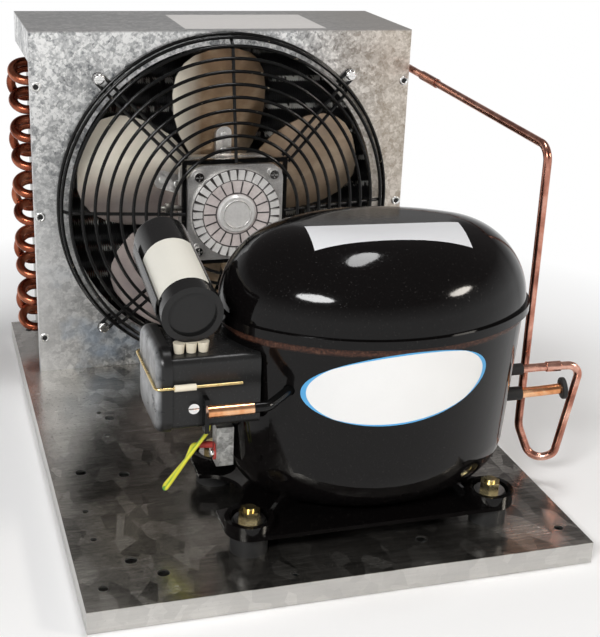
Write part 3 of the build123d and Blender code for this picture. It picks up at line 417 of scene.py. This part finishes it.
def paper(name, colour, rough=0.35):
    f = Finish(name, IOR=1.45)
    fibre = f.noise(900.0, 3.0, 0.7)
    shade = f.noise(40.0, 3.0)
    low = tuple(c * 0.90 for c in colour)
    f.wear(Base_Color=f.blend(fibre * 0.4 + shade * 0.6, low, colour), Roughness=fibre * 0.15 + rough,
           Normal=f.relief(fibre, 0.00005, 0.2))
    return f


LID_LOW, LID_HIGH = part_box("condenser_shroud")
STICKER = (Vector((LID_LOW.x + 132 * MM, LID_LOW.y + 10 * MM, 0)),
           Vector((LID_LOW.x + 258 * MM, LID_HIGH.y - 26 * MM, 0)), LID_HIGH.z - 0.3 * MM)
TUBE_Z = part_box("coil_tubes")[0].z + 4 * MM
TUBE_PITCH = 25.4 * MM
SHROUD = galvanised("shroud_zinc", (0.93, 0.93, 0.92), (0.15, 0.16, 0.17), 0.20, tint_and_painted_light=1.0, sticker=STICKER)
PLATE = galvanised("plate_zinc", (0.60, 0.60, 0.58), (0.22, 0.22, 0.21), 0.28)
TRAY = tray_sheet()
SHELL = enamel("shell_enamel")
BOWL = enamel("bowl_enamel", weld=True)
WIRE = wire_enamel()
BLADE = blade_metal()
CAST = cast_aluminium()
STEEL = plain_metal("bare_steel", (0.30, 0.29, 0.27), (0.66, 0.64, 0.60), 0.18)
CHROME = plain_metal("chrome", (0.72, 0.71, 0.70), (0.94, 0.93, 0.91), 0.08)
RIVET = plain_metal("rivet_alloy", (0.62, 0.62, 0.61), (0.92, 0.92, 0.90), 0.25)
YELLOW_ZINC = plain_metal("yellow_zinc", (0.55, 0.42, 0.18), (0.92, 0.80, 0.46), 0.15, 120.0)
BRASS = plain_metal("spring_brass", (0.60, 0.44, 0.18), (0.90, 0.72, 0.36), 0.18)
LAMINATE = plain_metal("motor_laminations", (0.10, 0.095, 0.09), (0.30, 0.28, 0.26), 0.4, 900.0)
BEND_COPPER = copper("bend_copper", (0.12, 0.03, 0.015), (0.30, 0.085, 0.045), (0.54, 0.21, 0.12), 0.18)
LINE_COPPER = copper("line_copper", (0.26, 0.10, 0.07), (0.56, 0.25, 0.18), (0.88, 0.54, 0.43), 0.14)
STUB_COPPER = copper("stub_copper", (0.55, 0.20, 0.07), (0.88, 0.42, 0.20), (0.98, 0.68, 0.44), 0.14)
FIN = fin_black()
BLACK_RUBBER = moulded("black_rubber", (0.012, 0.012, 0.012), 0.45, 0.02)
BLACK_PLASTIC = moulded("black_plastic", (0.010, 0.010, 0.010), 0.18, 0.012)
END_COVER = end_cover()
GLOSS_CASE = moulded("gloss_case", (0.008, 0.008, 0.008), 0.06, 0.008)
LAND = plain_metal("cover_lands", (0.62, 0.55, 0.54), (0.88, 0.81, 0.79), 0.30, 500.0, metallic=0.3)
# Painted shade: a near-black copy of the cast finish for the cover's gaps and grooves.
GROOVE_PAINTED_SHADE = plain_metal("cover_grooves", (0.03, 0.028, 0.028), (0.10, 0.09, 0.088), 0.4, 500.0, metallic=0.5)
BRIGHT_CAST = plain_metal("bright_casting", (0.70, 0.69, 0.68), (0.96, 0.95, 0.93), 0.20, 400.0,
                          metallic=0.35)
CREAM = moulded("cream_sleeve", (0.74, 0.68, 0.54), 0.35, 0.06)
RED = moulded("red_sleeve", (0.42, 0.03, 0.02), 0.3, 0.05)
LEAD = striped_lead()
WHITE_LABEL = paper("white_label", (0.90, 0.90, 0.89))
SILVER_LABEL = paper("silver_label", (0.72, 0.73, 0.75), 0.28)
CREAM_LABEL = paper("cream_label", (0.80, 0.78, 0.70))
BLUE_RIM = paper("blue_rim", (0.10, 0.42, 0.78))

FINISHES = {
    SHROUD: ["condenser_shroud"],
    PLATE: ["coil_end_plate_left", "coil_end_plate_right", "earth_tab", "foot_sleeves"],
    TRAY: ["base_tray"],
    SHELL: ["compressor_upper_shell", "compressor_feet"],
    BOWL: ["compressor_lower_shell"],
    BLADE: ["fan_blades"],
    CAST: ["motor_cover", "motor_rear_cover", "fan_hub"],
    STEEL: ["motor_shaft", "motor_bearings", "hub_nut", "motor_side_studs", "motor_housing"],
    CHROME: ["guard_screws", "motor_screws", "clamp_screw", "earth_screw", "foot_washers"],
    RIVET: ["pop_rivets", "fan_rivets"],
    YELLOW_ZINC: ["foot_nuts", "foot_bolts"],
    BRASS: ["bail_clip"],
    LAMINATE: ["motor_stator", "motor_rotor"],
    BEND_COPPER: ["return_bends_left", "return_bends_right", "coil_tubes"],
    LINE_COPPER: ["discharge_line", "liquid_outlet"],
    STUB_COPPER: ["suction_tube", "process_tube"],
    BLACK_RUBBER: ["foot_grommets", "suction_plug", "outlet_cap", "suction_connector",
                   "discharge_connector"],
    BLACK_PLASTIC: ["terminal_cover", "start_relay", "overload_protector"],
    END_COVER: ["terminal_end_cover"],
    GLOSS_CASE: ["start_capacitor", "capacitor_end_cap"],
    CREAM: ["bail_sleeve", "lead_sleeves"],
    RED: ["earth_terminal"],
    LEAD: ["earth_lead"],
    FIN: ["fin_pack"],
    WIRE: ["fan_guard", "guard_core_frame", "guard_lugs", "capacitor_bracket", "lead_clamp",
           "process_connector"],
}
for finish, names in FINISHES.items():
    for name in names:
        NODES[name].data.materials.clear()
        NODES[name].data.materials.append(finish.material)


# ---------------------------------------------------------------- pieces
def keep(name, mesh, body, finish=None, stands_for=()):
    """Put a finished mesh in the scene on its body."""
    made = bpy.data.objects.new(name, mesh)
    bpy.context.scene.collection.objects.link(made)
    if finish:
        mesh.materials.clear()
        mesh.materials.append(finish.material)
    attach(made, body)
    if stands_for:
        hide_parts(*stands_for)
    return made


class Maker(Tree):
    """A geometry tree with named sizes."""

    def __init__(self, name, **sizes):
        super().__init__(bpy.data.node_groups.new(name, "GeometryNodeTree"))
        self.name = name
        self.sizes = {key.replace("_", " "): value for key, value in sizes.items()}
        for label, value in self.sizes.items():
            kind = "NodeSocketInt" if isinstance(value, int) else "NodeSocketFloat"
            self.tree.interface.new_socket(label, in_out="INPUT", socket_type=kind)
        self.tree.interface.new_socket("Geometry", in_out="OUTPUT", socket_type="NodeSocketGeometry")
        self.entry = self.tree.nodes.new("NodeGroupInput")
        self.exit = self.tree.nodes.new("NodeGroupOutput")

    def size(self, label):
        return Value(self, self.entry.outputs[label])

    def vector(self, x=0.0, y=0.0, z=0.0):
        return self.node("ShaderNodeCombineXYZ", None, {0: x, 1: y, 2: z})

    def index(self):
        return self.node("GeometryNodeInputIndex")

    def position(self, axis):
        return self.node("ShaderNodeSeparateXYZ", None, {0: self.node("GeometryNodeInputPosition")}, axis)

    def points(self, count, place):
        return self.node("GeometryNodePoints", None, {"Count": count, "Position": place})

    def copies(self, points, shape, turn=(0, 0, 0), scale=(1, 1, 1)):
        links = {"Points": points, "Instance": shape, "Rotation": turn, "Scale": scale}
        made = self.node("GeometryNodeInstanceOnPoints", None, links)
        return self.node("GeometryNodeRealizeInstances", None, {0: made})

    def wire(self, curve, radius, sides=12, caps=False):
        size = {"Resolution": sides, "Radius": radius}
        circle = self.node("GeometryNodeCurvePrimitiveCircle", None, size)
        links = {"Curve": curve, "Profile Curve": circle, "Fill Caps": caps}
        return self.node("GeometryNodeCurveToMesh", None, links)

    def join(self, *shapes):
        return self.node("GeometryNodeJoinGeometry", None, {0: list(shapes)})

    def shape_of(self, mesh):
        """A ready-made mesh as a shape of this tree."""
        self.helper = bpy.data.objects.new(mesh.name, mesh)
        return self.node("GeometryNodeObjectInfo", None, {"Object": self.helper}, "Geometry")

    def circle_of(self, count, radius, depth):
        """Points round the fan's axis, and the turn that faces each one outwards."""
        angle = self.index() * (2 * math.pi / count)
        x = angle.maths("COSINE") * radius + FAN.x
        z = angle.maths("SINE") * radius + FAN.z
        return self.points(count, self.vector(x, depth, z)), self.vector(0.0, angle * -1.0, 0.0)

    def dressed(self, shape, finish, smooth=True):
        shaded = self.node("GeometryNodeSetShadeSmooth", None, {0: shape, "Shade Smooth": smooth})
        return self.node("GeometryNodeSetMaterial", None, {0: shaded, "Material": finish.material})

    def moved(self, shape, shift=(0, 0, 0), turn=(0, 0, 0)):
        return self.node("GeometryNodeTransform", None, {0: shape, "Translation": shift, "Rotation": turn})

    def finish(self, shape, finish=None, smooth=True):
        """End the tree, run it and return its plain mesh."""
        last = self.node("GeometryNodeRealizeInstances", None, {0: shape})
        if finish:
            last = self.dressed(last, finish, smooth)
        self.tree.links.new(last.socket, self.exit.inputs[0])
        blank = bpy.data.objects.new(self.name, bpy.data.meshes.new(self.name))
        bpy.context.scene.collection.objects.link(blank)
        modifier = blank.modifiers.new(self.name, "NODES")
        modifier.node_group = self.tree
        for item in self.tree.interface.items_tree:
            if item.in_out == "INPUT":
                modifier[item.identifier] = self.sizes[item.name]
        ready = bpy.context.evaluated_depsgraph_get()
        mesh = bpy.data.meshes.new_from_object(blank.evaluated_get(ready))
        mesh.name = self.name
        bpy.data.objects.remove(blank)
        if getattr(self, "helper", None):
            bpy.data.objects.remove(self.helper)
        return mesh


# ---------------------------------------------------------------- guard wires
# Distance of the guard's screws from the fan's axis, and half the gap of a pair of spokes.
LUG_R = 156.5 * MM
SPOKE_SIDE = 4 * MM


def guard_wires():
    """Rings and spokes of the fan guard, on a shallow cone with a turned-back rim."""
    low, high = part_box("fan_guard")
    wire = 1.5 * MM
    rim_r = (high.x - low.x) / 2 - wire
    rim_y = high.y - wire
    front_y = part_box("guard_core_frame")[0].y - wire
    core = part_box("guard_core_frame")[1].x - FAN.x
    knee_r, knee_y = rim_r - 8 * MM, rim_y - 12 * MM
    slope = (knee_y - front_y) / (knee_r - core)
    lift = 2 * wire
    g = Maker("guard_wires", Wire=wire, Rings=8, First_Ring=56 * MM, Ring_Step=10.5 * MM)
    circle = g.node("GeometryNodeCurvePrimitiveCircle", None, {"Resolution": 96, "Radius": 1.0})
    radius = g.size("First Ring") + g.index() * g.size("Ring Step")
    depth = (radius - core) * slope + front_y - lift
    places = g.points(g.size("Rings"), g.vector(FAN.x, depth, FAN.z))
    scale = g.node("ShaderNodeCombineXYZ", None, {0: radius, 1: radius, 2: 1.0})
    rings = g.copies(places, circle, (math.pi / 2, 0, 0), scale)
    shapes = [g.wire(rings, g.size("Wire"))]
    mid_r, mid_y = (rim_r + knee_r) / 2, (rim_y + knee_y) / 2
    for r, y in ((rim_r, rim_y), (mid_r + 2.2 * MM, mid_y - 2.2 * MM), (knee_r, knee_y - lift)):
        one = g.node("GeometryNodeCurvePrimitiveCircle", None, {"Resolution": 96, "Radius": r})
        shapes.append(g.wire(g.moved(one, (FAN.x, y, FAN.z), (math.pi / 2, 0, 0)), g.size("Wire")))
    rim_slope = (rim_y - knee_y) / (rim_r - knee_r)
    for k in range(8):
        corner = k % 2 == 1
        start = core * 1.365 if corner else core - 3 * MM
        for side in ((-SPOKE_SIDE, SPOKE_SIDE) if corner else (0.0,)):
            ends = {"Start": (start, 0, side), "End": (rim_r - 3 * MM, 0, side)}
            line = g.node("GeometryNodeCurvePrimitiveLine", None, ends)
            line = g.node("GeometryNodeResampleCurve", None, {"Curve": line, "Count": 40})
            x = g.position(0)
            cone = (x - core) * slope + front_y
            rim = (x - knee_r) * rim_slope + knee_y
            y = cone.maths("SMOOTH_MAX", rim, 2 * MM)
            line = g.node("GeometryNodeSetPosition", None, {0: line, "Position": g.vector(x, y, side)})
            line = g.moved(line, (FAN.x, 0, FAN.z), (0, -math.radians(45 * k), 0))
            shapes.append(g.wire(line, g.size("Wire"), 10, True))
    eye_y = high.y + 0.2 * MM
    for k in range(4):
        bend = {"Resolution": 16, "Radius": SPOKE_SIDE, "Start Angle": -math.pi / 2, "Sweep Angle": math.pi}
        eye = g.node("GeometryNodeCurveArc", {"mode": "RADIUS"}, bend)
        eye = g.moved(eye, (LUG_R, 0, 0), (math.pi / 2, 0, 0))
        for side in (-SPOKE_SIDE, SPOKE_SIDE):
            ends = {"Start": (rim_r - 4 * MM, 0, side), "End": (LUG_R, 0, side)}
            eye = g.join(eye, g.node("GeometryNodeCurvePrimitiveLine", None, ends))
        eye = g.moved(eye, (FAN.x, eye_y, FAN.z), (0, -math.radians(45 + 90 * k), 0))
        shapes.append(g.wire(eye, g.size("Wire"), 10, True))
    mesh = g.finish(g.join(*shapes), WIRE)
    keep("guard_wires", mesh, "unit", stands_for=["fan_guard", "guard_lugs"])


guard_wires()


# ---------------------------------------------------------------- fins
def fins():
    """Thin fins pressed on the coil's tubes, waved along their height."""
    low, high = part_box("fin_pack")
    pitch, sheet, wave = 1.9 * MM, 0.22 * MM, 0.35 * MM
    count = int((high.x - low.x - 2 * wave) / pitch)
    g = Maker("coil_fins", Fins=count, Pitch=pitch, Sheet=sheet, Wave=wave)
    size = g.vector(g.size("Sheet"), high.y - low.y, high.z - low.z)
    block = {"Size": size, "Vertices X": 2, "Vertices Y": 2, "Vertices Z": 48}
    fin = g.node("GeometryNodeMeshCube", None, block)
    bend = (g.position(2) * (2 * math.pi / 0.0127)).maths("SINE") * g.size("Wave")
    fin = g.node("GeometryNodeSetPosition", None, {0: fin, "Offset": g.vector(bend)})
    x = g.index() * g.size("Pitch") + (low.x + 2 * wave)
    row = g.points(g.size("Fins"), g.vector(x, (low.y + high.y) / 2, (low.z + high.z) / 2))
    mesh = g.finish(g.copies(row, fin), FIN, smooth=False)
    keep("coil_fins", mesh, "unit", stands_for=["fin_pack"])


fins()


# ---------------------------------------------------------------- fan blades
def one_blade():
    """Pressed blade on +X with its axis on Z: arched across, turned to its pitch and rounded at its tip."""
    # Distance from the axis and half the width there, in mm, from root to tip.
    widths = [(36, 15), (44, 25), (56, 33), (72, 41), (90, 46), (106, 47), (118, 44), (126, 37),
              (130, 28), (131.6, 15)]
    pitch, arch, sheet = math.radians(17.0), 240 * MM, 1.2 * MM
    made = bmesh.new()
    skins = []
    for depth in (0.0, -sheet):
        rows = []
        for radius, half in widths:
            line = []
            for i in range(25):
                s = half * MM * math.sin(math.pi / 2 * (i / 12 - 1))
                x = math.sqrt((radius * MM) ** 2 - s * s)
                z = math.sqrt(arch ** 2 - s * s) - arch + depth
                y = s * math.cos(pitch) - z * math.sin(pitch)
                z = s * math.sin(pitch) + z * math.cos(pitch)
                line.append(made.verts.new((x, y, z)))
            rows.append(line)
        skins.append(rows)
    front, back = skins
    for a, b in zip(front, front[1:]):
        for i in range(24):
            made.faces.new((a[i], b[i], b[i + 1], a[i + 1]))
    for a, b in zip(back, back[1:]):
        for i in range(24):
            made.faces.new((a[i], a[i + 1], b[i + 1], b[i]))
    rims = []
    for rows in skins:
        right, left = [row[-1] for row in rows[1:-1]], [row[0] for row in rows[-2:0:-1]]
        rims.append(rows[0] + right + rows[-1][::-1] + left)
    for i in range(len(rims[0])):
        j = (i + 1) % len(rims[0])
        made.faces.new((rims[0][i], rims[0][j], rims[1][j], rims[1][i]))
    bmesh.ops.recalc_face_normals(made, faces=made.faces)
    mesh = bpy.data.meshes.new("one_blade")
    made.to_mesh(mesh)
    made.free()
    return mesh


def fan_blades():
    """Five blades round the hub."""
    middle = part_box("fan_hub")[0].y + 8 * MM
    g = Maker("blades", Blades=5)
    blade = g.moved(g.shape_of(one_blade()), turn=(math.pi / 2, 0, 0))
    angle = g.index() * (2 * math.pi / 5) + math.pi / 2
    centre = g.points(g.size("Blades"), (FAN.x, middle, FAN.z))
    mesh = g.finish(g.copies(centre, blade, g.vector(0.0, angle * -1.0, 0.0)), BLADE)
    mesh.set_sharp_from_angle(angle=math.radians(40))
    keep("blades", mesh, "fan_rotor", stands_for=["fan_blades"])


fan_blades()


# ---------------------------------------------------------------- motor cover
def cover_casting():
    """Blocks, lands, grooves and centre boss cast on the motor's front cover, with near-black pieces as
    painted shade in the gaps and grooves.
    """
    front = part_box("motor_cover")[0].y
    blocks, lands = 30, 18
    g = Maker("cover_casting", Blocks=blocks, Lands=lands)
    size = {"Vertices X": 2, "Vertices Y": 2, "Vertices Z": 2}

    def plate(foot, top, depth, y, finish):
        shape = {"Vertices": 72, "Radius Top": foot * MM, "Radius Bottom": top * MM, "Depth": depth * MM}
        cone = g.node("GeometryNodeMeshCone", {"fill_type": "TRIANGLE_FAN"}, shape)
        return g.dressed(g.moved(cone, (FAN.x, front + y * MM, FAN.z), (-math.pi / 2, 0, 0)), finish, False)

    # A near-black disc behind the blocks is painted shade in their gaps.
    shapes = [plate(38.8, 38.8, 0.5, 2.7, GROOVE_PAINTED_SHADE), plate(29.6, 29.2, 1.2, 1.0, LAND),
              plate(17.6, 15.2, 3.4, -1.6, BRIGHT_CAST)]
    block = g.node("GeometryNodeMeshCube", None, {**size, "Size": (8.0 * MM, 4.2 * MM, 5.2 * MM)})
    points, turn = g.circle_of(blocks, 34.2 * MM, front + 1.9 * MM)
    shapes.append(g.dressed(g.copies(points, block, turn), BRIGHT_CAST, False))
    # Thin near-black bars are painted shade in the grooves between the lands.
    groove_painted_shade = g.node("GeometryNodeMeshCube", None, {**size, "Size": (10.5 * MM, 0.6 * MM, 1.1 * MM)})
    points, turn = g.circle_of(lands, 23.6 * MM, front + 0.9 * MM)
    shapes.append(g.dressed(g.copies(points, groove_painted_shade, turn), GROOVE_PAINTED_SHADE, False))
    # Two near-black rings are painted shade at the edges of the lands; the third ring is cast.
    beads = ((30.0, 0.6, 0.8, GROOVE_PAINTED_SHADE), (18.2, 0.5, 0.9, GROOVE_PAINTED_SHADE), (12.0, 0.7, -1.6, CAST))
    for radius, wire, y, finish in beads:
        ring = g.node("GeometryNodeCurvePrimitiveCircle", None, {"Resolution": 72, "Radius": radius * MM})
        ring = g.moved(ring, (FAN.x, front + y * MM, FAN.z), (math.pi / 2, 0, 0))
        shapes.append(g.dressed(g.wire(ring, wire * MM, 8), finish))
    keep("cover_casting", g.finish(g.join(*shapes)), "unit")


cover_casting()


# ---------------------------------------------------------------- coil crossovers
def rear_bends():
    """Crossover bends behind the left bends, one to each pair of rows."""
    pairs, depth = 5, 212 * MM
    tube, half, straight = 3.97 * MM, TUBE_PITCH / 2, 4 * MM
    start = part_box("return_bends_left")[0].x + tube + half + straight
    g = Maker("rear_bends", Pairs=pairs)
    bend = {"Resolution": 24, "Radius": half, "Start Angle": math.pi / 2, "Sweep Angle": math.pi}
    arc = g.moved(g.node("GeometryNodeCurveArc", {"mode": "RADIUS"}, bend), (-straight, 0, 0))
    parts = [g.wire(arc, tube, 16)]
    for side in (-half, half):
        ends = {"Start": (-straight, side, 0), "End": (0, side, 0)}
        parts.append(g.wire(g.node("GeometryNodeCurvePrimitiveLine", None, ends), tube, 16))
    loop = g.moved(g.join(*parts), turn=(math.pi / 2, 0, 0))
    z = g.index() * (2 * TUBE_PITCH) + (TUBE_Z + 0.75 * TUBE_PITCH)
    row = g.points(g.size("Pairs"), g.vector(start, depth, z))
    keep("rear_bends", g.finish(g.copies(row, loop), BEND_COPPER), "unit")


rear_bends()


# ---------------------------------------------------------------- lead sleeves
def sleeves():
    """Flared sleeves where the capacitor's leads leave the terminal box."""
    low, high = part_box("lead_sleeves")
    g = Maker("flared_sleeves", Sleeves=3)
    flare = {"Vertices": 32, "Radius Top": 4.0 * MM, "Radius Bottom": 3.1 * MM, "Depth": 7.0 * MM}
    sleeve = g.node("GeometryNodeMeshCone", {"fill_type": "TRIANGLE_FAN"}, flare)
    inset = 2.2 * MM
    step = (high.x - low.x - 2 * inset) / 2
    x = g.index() * step + (low.x + inset)
    row = g.points(g.size("Sleeves"), g.vector(x, (low.y + high.y) / 2, low.z + 0.2 * MM))
    mesh = g.finish(g.copies(row, sleeve), CREAM)
    mesh.set_sharp_from_angle(angle=math.radians(40))
    keep("flared_sleeves", mesh, "unit", stands_for=["lead_sleeves"])


sleeves()


# ---------------------------------------------------------------- rivets and nuts
def rivets():
    """Ring-headed rivets with a black disc as painted shade in the hole, in two rows down the shroud."""
    low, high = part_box("pop_rivets")
    reach = 4.2 * MM
    g = Maker("shroud_rivets", Rows=3)
    shapes = []
    step = (high.z - low.z - 2 * reach) / 2
    for x in (low.x + reach, high.x - reach):
        centres = g.vector(x, low.y + 0.7 * MM, g.index() * step + (low.z + reach))
        points = g.points(g.size("Rows"), centres)
        ring = g.node("GeometryNodeCurvePrimitiveCircle", None, {"Resolution": 32, "Radius": 3.1 * MM})
        head = g.moved(g.wire(ring, 1.05 * MM, 12), turn=(math.pi / 2, 0, 0))
        # Black disc sunk in each rivet's hole: painted shade.
        bore_painted_shade = g.node("GeometryNodeMeshCylinder", {"fill_type": "TRIANGLE_FAN"},
                      {"Vertices": 20, "Radius": 2.3 * MM, "Depth": 0.6 * MM})
        bore_painted_shade = g.moved(bore_painted_shade, (0, 0.2 * MM, 0), (math.pi / 2, 0, 0))
        shapes.append(g.dressed(g.copies(points, head), RIVET))
        shapes.append(g.dressed(g.copies(points, bore_painted_shade), BLACK_RUBBER, False))
    keep("shroud_rivets", g.finish(g.join(*shapes)), "unit", stands_for=["pop_rivets"])


rivets()


# ---------------------------------------------------------------- labels
def skin_of(*names):
    """One tree for casting rays on CAD nodes."""
    points, faces = [], []
    for name in names:
        mesh = NODES[name].data
        start = len(points)
        points += [vertex.co.copy() for vertex in mesh.vertices]
        faces += [tuple(start + v for v in face.vertices) for face in mesh.polygons]
    return BVHTree.FromPolygons(points, faces)


def lay_label(name, skin, place, across, up, outline, finish, rim=None, lift=0.25 * MM):
    """Label that follows a surface: outline(u, v) gives a point of the flat label for 0 to 1 squares."""
    steps = 40
    normal = across.cross(up).normalized()
    made = bmesh.new()
    grid = []
    for j in range(steps + 1):
        line = []
        for i in range(steps + 1):
            a, b = outline(2 * i / steps - 1, 2 * j / steps - 1)
            start = place + across * a + up * b + normal * 0.08
            hit, facing, _, _ = skin.ray_cast(start, -normal)
            hit = hit + facing * lift if hit else start - normal * 0.08
            line.append(made.verts.new(hit))
        grid.append(line)
    for j in range(steps):
        for i in range(steps):
            face = made.faces.new((grid[j][i], grid[j][i + 1], grid[j + 1][i + 1], grid[j + 1][i]))
            face.smooth = True
            edge = min(i, j, steps - 1 - i, steps - 1 - j)
            face.material_index = 1 if rim and edge < 1 else 0
    mesh = bpy.data.meshes.new(name)
    made.to_mesh(mesh)
    made.free()
    mesh.materials.append(finish.material)
    if rim:
        mesh.materials.append(rim.material)
    return keep(name, mesh, "unit")


def square_to_oval(half_w, half_h):
    """Fold a square's grid onto an oval."""
    def outline(u, v):
        return half_w * u * math.sqrt(1 - v * v / 2), half_h * v * math.sqrt(1 - u * u / 2)
    return outline


def rectangle(half_w, half_h):
    return lambda u, v: (half_w * u, half_h * v)


def labels():
    """Bare labels on the compressor and the capacitor."""
    dome_low, dome_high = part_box("compressor_upper_shell")
    centre = (dome_low + dome_high) / 2
    shells = skin_of("compressor_upper_shell", "compressor_lower_shell")
    lean = math.radians(5.0)
    across = Vector((math.cos(lean), 0, math.sin(lean)))
    above = Vector((-math.sin(lean), 0, math.cos(lean)))
    front = Vector((centre.x - 6 * MM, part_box("compressor_lower_shell")[0].y, 138 * MM))
    lay_label("bowl_label", shells, front, across, above, square_to_oval(64 * MM, 26 * MM),
              WHITE_LABEL, rim=BLUE_RIM)
    turn = math.radians(-4.0)
    across = Vector((math.cos(turn), math.sin(turn), 0))
    above = Vector((-math.sin(turn), math.cos(turn), 0))
    top = Vector((centre.x - 2 * MM, centre.y - 25 * MM, dome_high.z))
    outline = rectangle(54 * MM, 15 * MM)
    lay_label("rating_label", shells, top, across, above, outline, SILVER_LABEL)
    can_label()


def can_label():
    """Cream paper wrapped round the capacitor's can."""
    front, tilt, radius = Vector((-97 * MM, -190 * MM, 184 * MM)), math.radians(9.5), 19.65 * MM
    along = Vector((0, math.cos(tilt), math.sin(tilt)))
    above = Vector((0, -math.sin(tilt), math.cos(tilt)))
    side = Vector((1, 0, 0))
    made = bmesh.new()
    rows = []
    for j in range(9):
        reach = (14 + 56 * j / 8) * MM
        line = []
        for i in range(33):
            angle = math.radians(48 + 132 * i / 32)
            spot = front + along * reach + (side * math.cos(angle) + above * math.sin(angle)) * radius
            line.append(made.verts.new(spot))
        rows.append(line)
    for a, b in zip(rows, rows[1:]):
        for i in range(32):
            made.faces.new((a[i], b[i], b[i + 1], a[i + 1])).smooth = True
    bmesh.ops.recalc_face_normals(made, faces=made.faces)
    mesh = bpy.data.meshes.new("can_label")
    made.to_mesh(mesh)
    made.free()
    keep("can_label", mesh, "unit", CREAM_LABEL)


labels()


# ---------------------------------------------------------------- stage
def studio():
    """Pale floor and backdrop, a darker ceiling, and soft lamps."""
    world = bpy.data.worlds.new("studio")
    bpy.context.scene.world = world
    world.use_nodes = True
    sky = Tree(world.node_tree)
    background = world.node_tree.nodes["Background"]
    heading = sky.node("ShaderNodeTexCoord", out=0)
    height = sky.node("ShaderNodeSeparateXYZ", None, {0: heading}, 2)
    ceiling = height.step(0.04, 0.42)
    shades = {0: ceiling, 6: (1, 1, 1, 1), 7: (0.16, 0.15, 0.15, 1)}
    colour = sky.node("ShaderNodeMix", {"data_type": "RGBA"}, shades, 2)
    pale = None
    for name in ("Is Camera Ray", "Is Glossy Ray", "Is Transmission Ray"):
        rays = world.node_tree.nodes.new("ShaderNodeLightPath")
        seen = Value(sky, rays.outputs[name])
        pale = pale.maths("MAXIMUM", seen) if pale else seen
    strength = pale * 0.35 + 0.65
    world.node_tree.links.new(colour.socket, background.inputs[0])
    world.node_tree.links.new(strength.socket, background.inputs[1])

    floor = Finish("floor_white", Roughness=0.8)
    shade = floor.noise(3.0, 2.0)
    floor.wear(Base_Color=floor.blend(shade, (0.94, 0.94, 0.94), (0.96, 0.96, 0.96)))
    glow = floor.node("ShaderNodeEmission", None, {"Color": (1, 1, 1, 1), "Strength": 1.0})
    rays = floor.tree.nodes.new("ShaderNodeLightPath")
    seen = Value(floor, rays.outputs["Is Camera Ray"])
    mirrored = Value(floor, rays.outputs["Is Glossy Ray"])
    away = floor.node("ShaderNodeVectorMath", {"operation": "LENGTH"}, {0: floor.place}, 1).step(0.28, 0.60)
    share = seen.maths("MAXIMUM", mirrored) * away
    plain = Value(floor, floor.shader.outputs[0])
    both = floor.node("ShaderNodeMixShader", None, {0: share, 1: plain, 2: glow})
    floor.tree.links.new(both.socket, floor.tree.nodes["Material Output"].inputs[0])
    mesh = bpy.data.meshes.new("floor")
    made = bmesh.new()
    bmesh.ops.create_grid(made, x_segments=4, y_segments=4, size=4.0)
    made.to_mesh(mesh)
    made.free()
    mesh.materials.append(floor.material)
    plane = bpy.data.objects.new("floor", mesh)
    bpy.context.scene.collection.objects.link(plane)
    plane.location.z = -0.0005

    def lamp(name, place, aim, width, height, power, colour=(1, 1, 1)):
        data = bpy.data.lights.new(name, "AREA")
        data.shape = "ELLIPSE"
        data.size = width
        data.size_y = height
        data.energy = power
        data.color = colour
        made = bpy.data.objects.new(name, data)
        made.location = place
        made.rotation_euler = (Vector(aim) - Vector(place)).to_track_quat("-Z", "Y").to_euler()
        bpy.context.scene.collection.objects.link(made)

    lamp("key", (-1.1, -1.4, 1.2), (0, 0, 0.12), 0.75, 0.30, 24)
    lamp("fill", (1.5, -1.1, 1.0), (0, 0, 0.12), 0.55, 0.22, 11, (1.0, 0.94, 0.86))
    lamp("top", (0.15, -0.1, 1.7), (0, 0, 0.1), 0.7, 0.25, 9)
    bpy.context.scene.view_settings.view_transform = "Standard"


studio()
